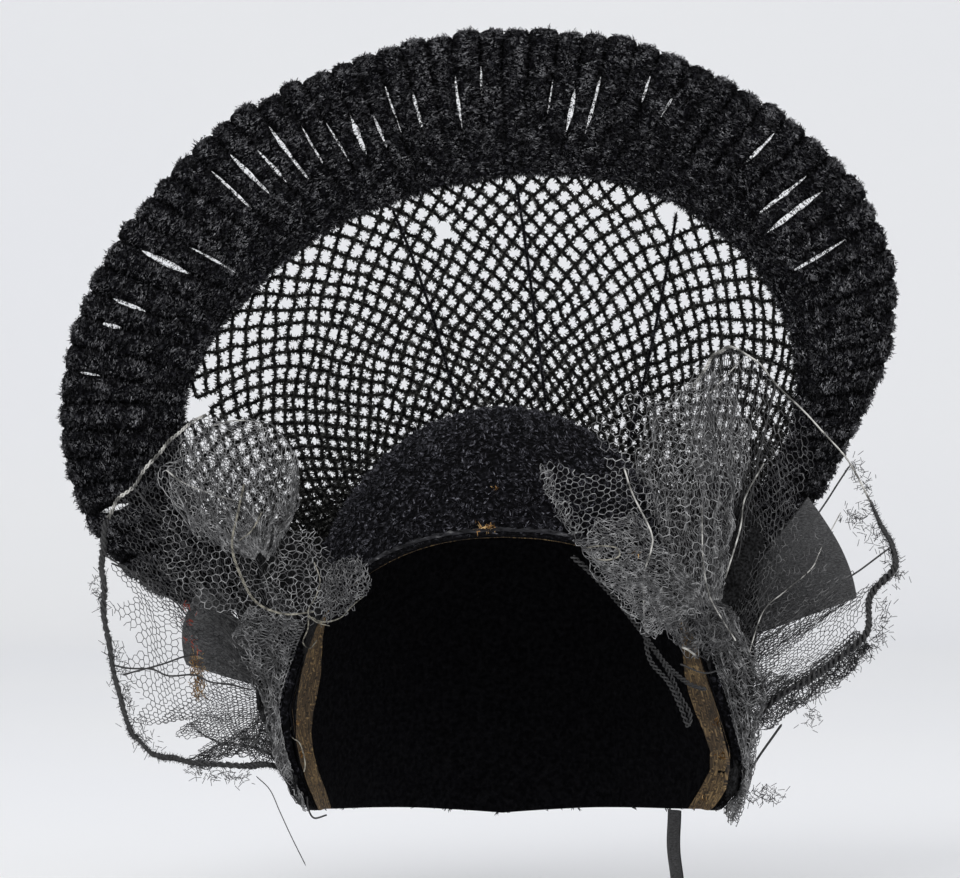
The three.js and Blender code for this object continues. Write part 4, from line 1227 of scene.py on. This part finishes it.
def add_wing(name, side, rows, foot_end, flat, pitch, torn, spokes, thick_from, seeds):
    rng = np.random.default_rng(seeds[0])
    parts = []
    first_layer = whole_tulle(torn)
    for seed, fold, keep in zip(seeds, (WING_FOLD, -WING_FOLD), (first_layer, second_layer(first_layer))):
        surface = wing_surface(side, rows, foot_end, fold, seed)[0]
        parts.append(tulle_part(surface, flat, pitch, THREAD, seed, keep))
    add_tulle(f"wing_{name}_tulle", parts, flat, len(parts), pitch, WING_CUT,
              tulle_black, [f"wing_tulle_{name}"])
    surface, wire_points = wing_surface(side, rows, foot_end, WING_FOLD, seeds[0])
    along = np.linspace(0, 1, HOOP_STEPS)
    path = spline(wire_points, along)
    path = path + np.stack([waves(HOOP_WAVES, HOOP_WANDER, rng)(along, 0 * along) for axis in range(3)], -1)
    thick = smooth_step(thick_from - WRAP_BEFORE, thick_from + WRAP_AFTER, along)
    radius = (BARE_WIRE + (WRAPPED_WIRE - BARE_WIRE) * thick) * rng.uniform(*HOOP_SIZES, along.shape)
    last_thin = int(len(along) * thick_from)
    turn = along * HOOP_TURNS * 2 * math.pi
    twine = np.stack([np.cos(turn), np.sin(turn), -np.cos(turn)], -1) * radius[:, None]
    strands = [(path + twine * half, radius) for half in (-1, 1)]
    wrapped = [tube(strand[last_thin:], size[last_thin:], 5) for strand, size in strands]
    add_piece(f"wing_{name}_hoop_wrapped", wrapped, dark_wire, [f"wing_wire_{name}"])
    bare = [tube(strand[:last_thin + 1], size[:last_thin + 1], 4) for strand, size in strands]
    steps = len(wire_points) - 1
    spoke_parts = []
    for row, start in spokes:
        out = np.linspace(start, 1, 40)
        spoke = surface(np.full_like(out, row / steps), out) - SPOKE_BEFORE * BACKWARDS
        spoke[-1] = spline(wire_points, np.array([row / steps]))[0]
        spoke_parts.append(tube(spoke, SPOKE_WIRE, 5))
    add_piece(f"wing_{name}_wires", bare, bare_wire, [f"wing_wire_{name}"])
    add_piece(f"wing_{name}_spokes", spoke_parts, dark_wire, [f"wing_wire_{name}"])
    wrap = fuzz(path, last_thin, HOOP_FIBRES, HOOP_FIBRE_LENGTHS, HOOP_FIBRE_WIDTH, rng)
    add_piece(f"wing_{name}_wrap", [wrap], chenille_pile, [f"wing_wire_{name}"], smooth=False)


# Gathered tulle, placed where the photograph shows it. Each piece spreads from its foot to its edge;
# points are pixels of the photograph and millimetres back from the crown.

def seen(points):
    across, down, back = np.array(points, float).T
    back = back * MM
    spread = (back - CAMERA_BACK) / CAMERA_DISTANCE * PHOTO_SPAN / PHOTO_WIDTH
    x = CAMERA_ACROSS + (across - PHOTO_MIDDLE[0]) * spread
    return np.stack([x, back, CAMERA_UP - (down - PHOTO_MIDDLE[1]) * spread], -1)


def hem_foot(side):
    """The flap's edge, from the ear down to the hem."""
    return head_point(side * HEM["azimuth"][FLAP_ROWS], HEM["drop"][FLAP_ROWS], COVER_OUTER)


def gather_surface(foot, edge, pleats, fold, belly, seed):
    rng = np.random.default_rng(seed)
    crumple = [waves(GATHER_WAVES, GATHER_CRUMPLE, rng) for axis in range(3)]
    ragged = waves(GATHER_EDGE_WAVES, GATHER_RAGGED, rng)
    phase = rng.uniform(0, math.pi)

    def surface(along, out):
        start, end = spline(foot, along), spline(edge, along)
        point = start + (end - start) * (out * (1 + ragged(along, 0 * out)))[..., None]
        spread = np.minimum(out * GATHER_FOOT, 1)
        pleat = fold * spread * np.cos(math.pi * along * pleats + phase)
        point[..., 1] += pleat - belly * np.sin(math.pi * out)
        point += np.stack([noise(along, out) for noise in crumple], -1) * spread[..., None]
        free = cover_front(point[..., 0], point[..., 2]) - DRAPE_CLEARANCE
        point[..., 1] = np.minimum(point[..., 1], free)
        return point
    return surface


# Gathered strips: a foot given as a side is the edge of that side's flap
GATHERS = named_rows(
    "name node flat pitch layers cut pleats fold belly thread foot edge",
    ("rosette_left_puff", "rosette_left", (0.13, 0.064), 0.0026, 2, 0.7, 9, 0.0035, 0.004, tulle_thread,
     [(254, 560, -38), (260, 552, -39), (268, 560, -40)],
     [(190, 530, -20), (166, 484, -18), (178, 446, -18), (214, 422, -20), (256, 422, -24),
      (290, 448, -28), (300, 488, -30), (284, 528, -34)]),
    ("ruffle_left_gathers", "ruffle_left", (0.1, 0.028), 0.0022, 3, 1, 13, 0.0018, 0.003,
     tulle_thread, LEFT,
     [(250, 606, -30), (236, 636, -20), (250, 672, -10), (268, 716, -6), (274, 752, -4), (300, 800, 0)]),
    ("rosette_right_under", "rosette_right", (0.1, 0.08), 0.0028, 2, 0.75, 9, 0.003, 0.002, tulle_thread,
     [(688, 606, -44), (704, 602, -42), (722, 600, -40)],
     [(640, 480, -44), (648, 424, -38), (680, 392, -32), (706, 376, -26), (732, 388, -22),
      (748, 440, -22)]),
    ("rosette_right_low_lining", "rosette_right", (0.1, 0.05), 0.0024, 2, 0.75, 7, 0.002, 0.002,
     tulle_thread,
     [(690, 616, -50), (700, 608, -48), (706, 600, -46)],
     [(652, 636, -60), (628, 608, -68), (600, 574, -74), (580, 546, -76), (604, 520, -70),
      (640, 516, -62)]),
    ("rosette_right_hub", "rosette_right", (0.06, 0.02), 0.0022, 3, 1, 6, 0.003, 0.004, tulle_dark,
     [(684, 604, -48), (700, 600, -50), (720, 602, -46)],
     [(664, 626, -48), (680, 648, -46), (704, 656, -42), (728, 640, -38), (736, 618, -36)]),
    ("ruffle_right_gathers", "ruffle_right", (0.11, 0.026), 0.0022, 3, 1, 14, 0.0018, 0.003,
     tulle_thread, RIGHT,
     [(736, 618, -28), (756, 664, -16), (764, 710, -8), (754, 752, -4), (746, 790, 0), (732, 824, 2)]),
    ("wing_right_hem", "wing_tulle_right", (0.07, 0.018), 0.0022, 3, 1, 9, 0.0016, 0.001, tulle_black,
     [(748, 712, -4), (784, 688, -4), (822, 660, 0), (856, 630, 4)],
     [(764, 730, -4), (806, 704, -2), (846, 674, 0), (870, 650, 4)]),
    ("wing_left_hem", "wing_tulle_left", (0.05, 0.024), 0.0022, 2, 1, 5, 0.0014, 0.001, tulle_black,
     [(284, 706, -4), (262, 712, -4), (240, 732, -2), (184, 762, 2)],
     [(286, 742, -4), (270, 762, -2), (236, 754, 0), (192, 768, 2)]),
)


def add_gather(name, node, flat, pitch, layers, cut, pleats, fold, belly, thread, foot, edge):
    foot = hem_foot(foot) if foot in (LEFT, RIGHT) else seen(foot)
    seeds = [sum(name.encode()) + layer for layer in range(layers)]
    parts = []
    for layer, seed in enumerate(seeds):
        spread = 1 + LAYER_SPREAD * layer
        surface = gather_surface(foot, seen(edge), pleats + layer * LAYER_PLEATS, fold * spread,
                                 belly - LAYER_SINK * layer, seed)
        parts.append(tulle_part(surface, flat, pitch, FRONT_THREAD, seed))
    add_tulle(name, parts, flat, layers, pitch, cut,
              thread, [node])


# Panels of tulle that lie open: their outline in the photograph, the lean of their net in degrees, and
# how far apart and how deep their folds are
PANELS = named_rows(
    "name node pitch lean apart fold layers seed outline",
    ("rosette_left_drape", "rosette_left", 0.0031, 12, 0.02, 0.002, 1, 101,
     [(168, 476, -18), (160, 520, -16), (160, 562, -14), (178, 594, -14), (214, 612, -16),
      (256, 612, -34), (262, 575, -36), (240, 520, -34), (200, 492, -24)]),
    ("rosette_left_ball", "rosette_left", 0.0031, -20, 0.016, 0.003, 2, 104,
     [(262, 596, -42), (262, 566, -40), (276, 538, -40), (298, 524, -40), (320, 536, -44),
      (334, 566, -50), (334, 600, -54), (312, 622, -52), (282, 618, -48)]),
    ("rosette_left_pad", "rosette_left", 0.0021, 40, 0.008, 0.002, 3, 108,
     [(320, 628, -54), (318, 586, -52), (336, 562, -54), (362, 558, -60), (372, 584, -66),
      (348, 612, -62)]),
    ("rosette_right_flap", "rosette_right", 0.0037, -8, 0.03, 0.003, 1, 112,
     [(704, 606, -50), (668, 566, -54), (640, 520, -58), (622, 478, -56), (604, 462, -54),
      (587, 428, -52), (598, 414, -48), (634, 394, -42), (655, 402, -38), (680, 388, -34),
      (704, 416, -32), (718, 480, -36), (722, 550, -44)]),
    ("rosette_right_low_flap", "rosette_right", 0.0028, 24, 0.026, 0.0025, 1, 116,
     [(700, 610, -52), (652, 634, -66), (626, 604, -72), (596, 564, -78), (570, 532, -80),
      (552, 506, -78), (538, 486, -74), (538, 464, -72), (552, 458, -70), (584, 472, -66),
      (622, 472, -60), (654, 530, -58)]),
    ("rosette_right_low_fold", "rosette_right", 0.0022, 60, 0.01, 0.0018, 2, 118,
     [(570, 536, -82), (548, 502, -80), (538, 470, -76), (548, 468, -76), (562, 494, -80),
      (584, 530, -82)]),
)


def inside_outline(x, z, outline):
    """Whether each place lies within a closed outline, by counting the edges it crosses."""
    x1, z1 = outline.T
    x2, z2 = np.roll(x1, -1), np.roll(z1, -1)
    crosses = (z1 > z[:, None]) != (z2 > z[:, None])
    rise = np.where(z2 == z1, 1, z2 - z1)
    at = x1 + (z[:, None] - z1) / rise * (x2 - x1)
    return (crosses & (x[:, None] < at)).sum(1) % 2 == 1


def panel_part(corners, pitch, lean, apart, fold, seed):
    rng = np.random.default_rng(seed)
    closed = np.concatenate([corners, corners[:1]])
    outline = spline(closed, np.linspace(0, 1, PANEL_EDGE_STEPS, endpoint=False))[:, [0, 2]]
    outline = outline + rng.normal(0, pitch / 4, outline.shape)
    known = np.stack([corners[:, 0], corners[:, 2], np.ones(len(corners))], 1)
    plane = np.linalg.lstsq(known, corners[:, 1], rcond=None)[0]
    middle = corners.mean(0)[[0, 2]]
    size = PANEL_CUT * np.abs(outline - middle).max()
    along, out, pairs = hexagons(size, size, pitch)
    turn = math.radians(lean)
    across, up = (along - 0.5) * size, (out - 0.5) * size
    x = middle[0] + across * math.cos(turn) - up * math.sin(turn)
    z = middle[1] + across * math.sin(turn) + up * math.cos(turn)
    kept = inside_outline(x, z, outline)
    whole = kept[pairs].all(1) & (rng.random(len(pairs)) > PANEL_LOOSE)
    pairs = pairs[whole]
    crumple = [waves(8, PANEL_CRUMPLE, rng) for axis in range(3)]
    back = plane[0] * x + plane[1] * z + plane[2]
    slant = 3 * up / apart * np.sin(across / apart)
    back = back + fold * np.cos(2 * math.pi * across / apart + slant)
    points = np.stack([x, back, z], -1) + np.stack([noise(along, out) for noise in crumple], -1)
    points += rng.normal(0, pitch / PANEL_CELLS_TO_STRAY, points.shape)
    free = cover_front(points[:, 0], points[:, 2]) - DRAPE_CLEARANCE
    points[:, 1] = np.minimum(points[:, 1], free)
    return prisms(points[pairs[:, 0]], points[pairs[:, 1]], FRONT_THREAD)


def add_panel(name, node, pitch, lean, apart, fold, layers, seed, outline):
    corners = seen(outline)
    parts = []
    for layer in range(layers):
        place = corners + layer * LAYER_APART * BACKWARDS
        parts.append(panel_part(place, pitch, lean + LAYER_TURN * layer, apart, fold, seed + layer))
    thread = tulle_dark if name.endswith("pad") else tulle_thread
    piece = add_piece(name, parts, thread, [node], smooth=False)


# Crepe behind the rosettes, where it is gathered in to the ears, painted dark as painted shade
BACKINGS = named_rows(
    "name node pleats fold belly foot edge",
    ("crepe_left_gather", "ribbon_loop_left", 7, 0.003, 0.001,
     [(338, 570, -36), (320, 620, -26), (301, 676, -10), (296, 734, -2), (300, 790, 2)],
     [(266, 516, -14), (240, 574, -12), (246, 646, -8), (262, 708, -4), (290, 792, 0)]),
    ("crepe_right_gather", "ribbon_loop_right", 7, 0.003, 0.001,
     [(660, 560, -40), (690, 620, -30), (712, 680, -14), (726, 740, -4), (726, 800, 0)],
     [(700, 474, -14), (756, 512, -6), (758, 600, -8), (752, 700, -6), (738, 796, 0)]),
)


def add_backing(name, node, pleats, fold, belly, foot, edge):
    surface = gather_surface(seen(foot), seen(edge), pleats, fold, belly, sum(name.encode()))
    along, out = np.meshgrid(np.linspace(0, 1, 61), np.linspace(0, 1, 25), indexing="ij")
    point = surface(along, out)
    piece = add_piece(name, [grid_part(point)], shaded_crepe, [node])
    lengths = np.linalg.norm(np.diff(point, axis=0), axis=-1).sum(0)
    widths = np.linalg.norm(np.diff(point, axis=1), axis=-1).sum(1)


# Loose wires and cords, by the photograph: thickness is their radius in millimetres

STRANDS = named_rows(
    "wire thickness twist points",
    # the twisted bundle down the left rosette, and the cords at its foot
    ("worn", 0.22, 3,
     [(244, 484, -34), (238, 512, -38), (232, 545, -40), (240, 574, -44), (256, 602, -48),
      (284, 614, -52), (314, 612, -54)]),
    ("worn", 0.2, 2, [(262, 512, -40), (252, 530, -42), (240, 540, -42)]),
    ("worn", 0.22, 2,
     [(308, 616, -54), (322, 622, -54), (340, 618, -56), (352, 606, -60), (364, 596, -64)]),
    ("worn", 0.2, 1,
     [(314, 562, -58), (320, 580, -60), (316, 596, -60), (308, 612, -58), (316, 622, -56),
      (330, 626, -56)]),
    ("bare", 0.3, 1, [(212, 426, -22), (232, 421, -24), (250, 421, -26), (262, 424, -28)]),
    # the left wing's spoke over the upper puff, and the two that curve down to the flap
    ("bare", 0.32, 1, [(166, 470, -22), (182, 482, -24), (206, 492, -28), (236, 501, -34)]),
    ("dark", 0.4, 1,
     [(111, 563, 0), (146, 578, -6), (182, 594, -12), (224, 614, -18), (262, 643, -20), (281, 670, -16)]),
    ("dark", 0.4, 1,
     [(122, 675, -2), (160, 665, -6), (193, 655, -10), (220, 662, -12), (253, 679, -12),
      (275, 700, -10)]),
    # the wires over the right rosette and wing
    ("bare", 0.36, 1,
     [(624, 468, -66), (633, 495, -68), (651, 532, -68), (651, 550, -66), (644, 576, -64),
      (644, 622, -60)]),
    ("bare", 0.3, 1,
     [(702, 506, -44), (703, 560, -50), (709, 594, -52), (720, 616, -50), (736, 641, -42)]),
    ("bare", 0.34, 1, [(764, 463, -16), (745, 498, -26), (740, 529, -34), (725, 579, -44)]),
    ("bare", 0.26, 1,
     [(841, 512, 4), (821, 549, -4), (811, 569, -6), (784, 592, -10), (763, 612, -14), (748, 656, -18)]),
    ("bare", 0.24, 1, [(744, 357, 4), (728, 374, 0), (709, 394, -6)]),
    ("bare", 0.45, 1, [(681, 647, -52), (688, 650, -54), (696, 656, -52)]),
    # the cords down the right side of the brow's edge
    ("dark", 0.45, 2,
     [(572, 556, -80), (592, 574, -77), (618, 602, -70), (642, 632, -60), (662, 660, -50),
      (686, 682, -40), (706, 690, -32)]),
    ("dark", 0.4, 2,
     [(644, 630, -60), (650, 660, -56), (668, 682, -50), (680, 706, -46), (688, 726, -44),
      (690, 714, -44), (680, 696, -46), (670, 674, -50), (656, 650, -56)]),
    ("dark", 0.35, 1, [(680, 664, -54), (704, 673, -44), (722, 668, -34), (737, 657, -26)]),
    ("worn", 0.3, 1,
     [(586, 548, -84), (600, 546, -84), (616, 548, -82), (619, 556, -82), (606, 560, -82),
      (590, 558, -82)]),
    # threads about the left flap
    ("worn", 0.3, 1,
     [(308, 612, -50), (308, 628, -40), (303, 642, -30), (310, 648, -26), (317, 640, -28)]),
    ("worn", 0.28, 1, [(293, 722, -6), (290, 735, -6), (300, 744, -8), (305, 762, -10), (304, 772, -10)]),
    ("dark", 0.4, 1, [(307, 796, 2), (308, 808, 2), (314, 818, 2), (327, 815, 4)]),
)


def strand_paths(points, thickness, twist):
    along = np.linspace(0, 1, STRAND_STEPS * len(points))
    path = spline(seen(points), along)
    if twist == 1:
        return [path]
    steps = np.linalg.norm(np.diff(path, axis=0, prepend=path[:1]), axis=1)
    turn = np.cumsum(steps) / TWIST_PITCH * 2 * math.pi
    apart = thickness * MM * TWIST_APART
    paths = []
    for phase in 2 * math.pi * np.arange(twist) / twist:
        across, over = np.cos(turn + phase), np.sin(turn + phase)
        paths.append(path + apart * np.stack([across, over, TWIST_FLAT * across], -1))
    return paths


def add_strands():
    finishes = {"worn": worn_cord, "bare": bare_wire, "dark": dark_wire}
    parts = {finish: [] for finish in finishes}
    for strand in STRANDS:
        for path in strand_paths(strand["points"], strand["thickness"], strand["twist"]):
            parts[strand["wire"]].append(tube(path, strand["thickness"] * MM, 5))
    for finish, some in parts.items():
        add_piece(f"strands_{finish}", some, finishes[finish])


# Threads that hang or stick out free: their length is what the photograph shows
HANGING = named_rows(
    "name diameter points",
    ("thread_left", 0.0004, [(256, 776, 0), (270, 790, 0), (280, 812, 0), (292, 838, 0), (306, 866, 0)]),
    ("wire_right", 0.001,
     [(782, 724, -2), (772, 738, -2), (758, 758, -2), (748, 776, -2), (741, 790, -2)]),
)


def add_hanging(name, diameter, points):
    path = spline(seen(points), np.linspace(0, 1, HANGING_STEPS))
    piece = add_piece(name, [tube(path, diameter / 2, 6)], dark_wire)


# Scraps of torn tulle caught on the wires: a line of pixels, how far they stray and how many threads
SCRAPS = named_rows(
    "stray count points",
    (1.6, 60, [(100, 574, 2), (98, 592, 2), (104, 610, 2)]),
    (2.2, 240, [(112, 640, 0), (124, 690, 0), (134, 726, 0), (164, 762, 2)]),
    (1.4, 120, [(190, 768, 2), (216, 774, 2), (250, 778, 2)]),
    (1.7, 70, [(853, 462, 8), (860, 476, 8), (866, 488, 8)]),
    (1.8, 80, [(844, 516, 4), (858, 520, 4), (870, 500, 6)]),
    (2, 150, [(862, 526, 4), (882, 540, 4), (892, 566, 4), (900, 578, 4)]),
    (1.6, 260, [(884, 600, 2), (878, 640, 2), (850, 668, 0), (812, 698, -2)]),
    (2, 40, [(806, 712, -2), (816, 716, -2)]),
    (2, 110, [(742, 796, 0), (756, 797, 0), (766, 794, 0), (778, 797, 0)]),
)


def add_scraps():
    rng = np.random.default_rng(91)
    parts = []
    for scrap in SCRAPS:
        count = scrap["count"]
        root = spline(seen(scrap["points"]), rng.random(count))
        root = root + rng.normal(0, scrap["stray"] * MM, (count, 3))
        end = root + unit(rng.normal(size=(count, 3))) * SCRAP_THREAD
        parts.append(prisms(root, end, THREAD * SCRAP_THIN))
    add_piece("scraps", parts, dark_wire, smooth=False)


# Red threads in the left wing, in knots, and a strip of brown ones below them
RED_KNOTS = [(184, 606, -12), (190, 620, -12), (191, 640, -10), (197, 650, -10)]
RED_THREADS = 40
RED_STRAY = 0.0009
RED_LENGTH = 0.0022
BROWN_STRIP = [(196, 656, -6), (197, 674, -6), (199, 696, -6)]
BROWN_THREADS = 160
BROWN_STRAY = 0.0011
BROWN_LENGTH = 0.003
BROWN_SCATTER = (1, 0.2, 0.4)
BROWN_SWING = (0.4, 0.3, 1)


def add_red_threads():
    rng = np.random.default_rng(92)
    spots = seen(RED_KNOTS)
    root = spots[rng.integers(0, len(spots), RED_THREADS)] + rng.normal(0, RED_STRAY, (RED_THREADS, 3))
    end = root + unit(rng.normal(size=(RED_THREADS, 3))) * RED_LENGTH
    add_piece("red_threads", [prisms(root, end, THREAD)], red_thread, smooth=False)
    strip = spline(seen(BROWN_STRIP), np.linspace(0, 1, BROWN_THREADS))
    root = strip + rng.normal(0, BROWN_STRAY, strip.shape) * BROWN_SCATTER
    end = root + unit(rng.normal(size=root.shape) * BROWN_SWING) * BROWN_LENGTH
    add_piece("brown_strip", [prisms(root, end, THREAD)], straw_ends, smooth=False)


# Crepe

# The left loop's cloth is the loops' crepe painted paler, as painted light
LOOPS = named_rows(
    "name side drop turn reach width drawn_in cloth",
    ("left", LEFT, 0.64, -57, 0.76, 0.8, 0.24, painted_light_crepe),
    ("right", RIGHT, 0.53, 54, 1, 1.15, 0.12, crepe),
)


def add_loop(name, side, drop, turn, reach, width, drawn_in, cloth):
    """A loop that stands out from the ear, the lower corner of its fold drawn in a little."""
    def seat(azimuth, down):
        return head_point(side * azimuth, down, COVER_OUTER + GAP + CREPE_WALL / 4)
    first, last = seat(LOOP_FIRST_SEAT, drop), seat(LOOP_LAST_SEAT, drop)
    above = seat(LOOP_FIRST_SEAT, drop - LOOP_SEAT_DROP)
    upright = unit(above - seat(LOOP_FIRST_SEAT, drop + LOOP_SEAT_DROP))
    angle = math.radians(turn)
    out = np.array([math.sin(angle), -RIBBON_FORWARD, math.cos(angle)])
    across = np.array([-math.cos(angle), 0, math.sin(angle)]) * side
    along = np.linspace(0, 1, 61)[:, None]
    over = np.linspace(0, 1, 17)[None, :]
    swing = np.sin(math.pi * along) ** RIBBON_SWELL
    wide = RIBBON_WIDTH * width * (RIBBON_PINCH + (1 - RIBBON_PINCH) * swing)
    lay = (wide * (over - 0.5))[..., None]
    long = RIBBON_REACH * reach * swing * (1 - drawn_in * (1 - over) ** 3)
    point = first + (last - first) * along[..., None] + out * long[..., None]
    point = point + (upright + (across - upright) * swing[..., None]) * lay
    crease = waves(6, RIBBON_CREASE, np.random.default_rng(80 + side))(along + 0 * over, over + 0 * along)
    point[..., 1] += crease
    thick = unit(np.cross(out, across)) * CREPE_WALL / 4
    front, back = grid_part(point - thick), flipped(grid_part(point + thick))
    piece = add_piece(f"crepe_{name}", [front, back], cloth, [f"ribbon_loop_{name}"])


def add_tail():
    hem = read(HEM, "azimuth", "drop", TAIL_AZIMUTH) + 2 * GAP / CAP_DEPTH
    seat = head_point(TAIL_AZIMUTH, hem, LINING_WALL)
    beside = unit((head_point(TAIL_AZIMUTH + 4, hem, LINING_WALL) - seat) * [1, 1, 0])
    inwards = np.array([-beside[1], beside[0], 0])
    along = np.linspace(0, 1, 33)[:, None, None]
    over = np.linspace(0, 1, 9)[None, :, None]
    point = seat + beside * TAIL_WIDTH * (over - 0.5) - np.array([0, 0, TAIL_LENGTH]) * along
    point = point + inwards * TAIL_SWAY * np.sin(2 * math.pi * along) * along
    point = point + inwards * TAIL_CURL * np.cos(3 * math.pi * over)
    thick = inwards * CREPE_WALL / 4
    front, back = grid_part(point - thick), flipped(grid_part(point + thick))
    piece = add_piece("crepe_tail", [front, back], crepe, ["ribbon_tail"])


for loose_end in HANGING:
    add_hanging(**loose_end)
add_lining()
add_cover()
add_worn_spots()
add_brow_binding()
add_net()
add_ribs()
add_rim()
for wing in WINGS:
    add_wing(**wing)
for gather in GATHERS:
    add_gather(**gather)
for panel in PANELS:
    add_panel(**panel)
for backing in BACKINGS:
    add_backing(**backing)
add_strands()
add_scraps()
add_red_threads()
for loop in LOOPS:
    add_loop(**loop)
add_tail()
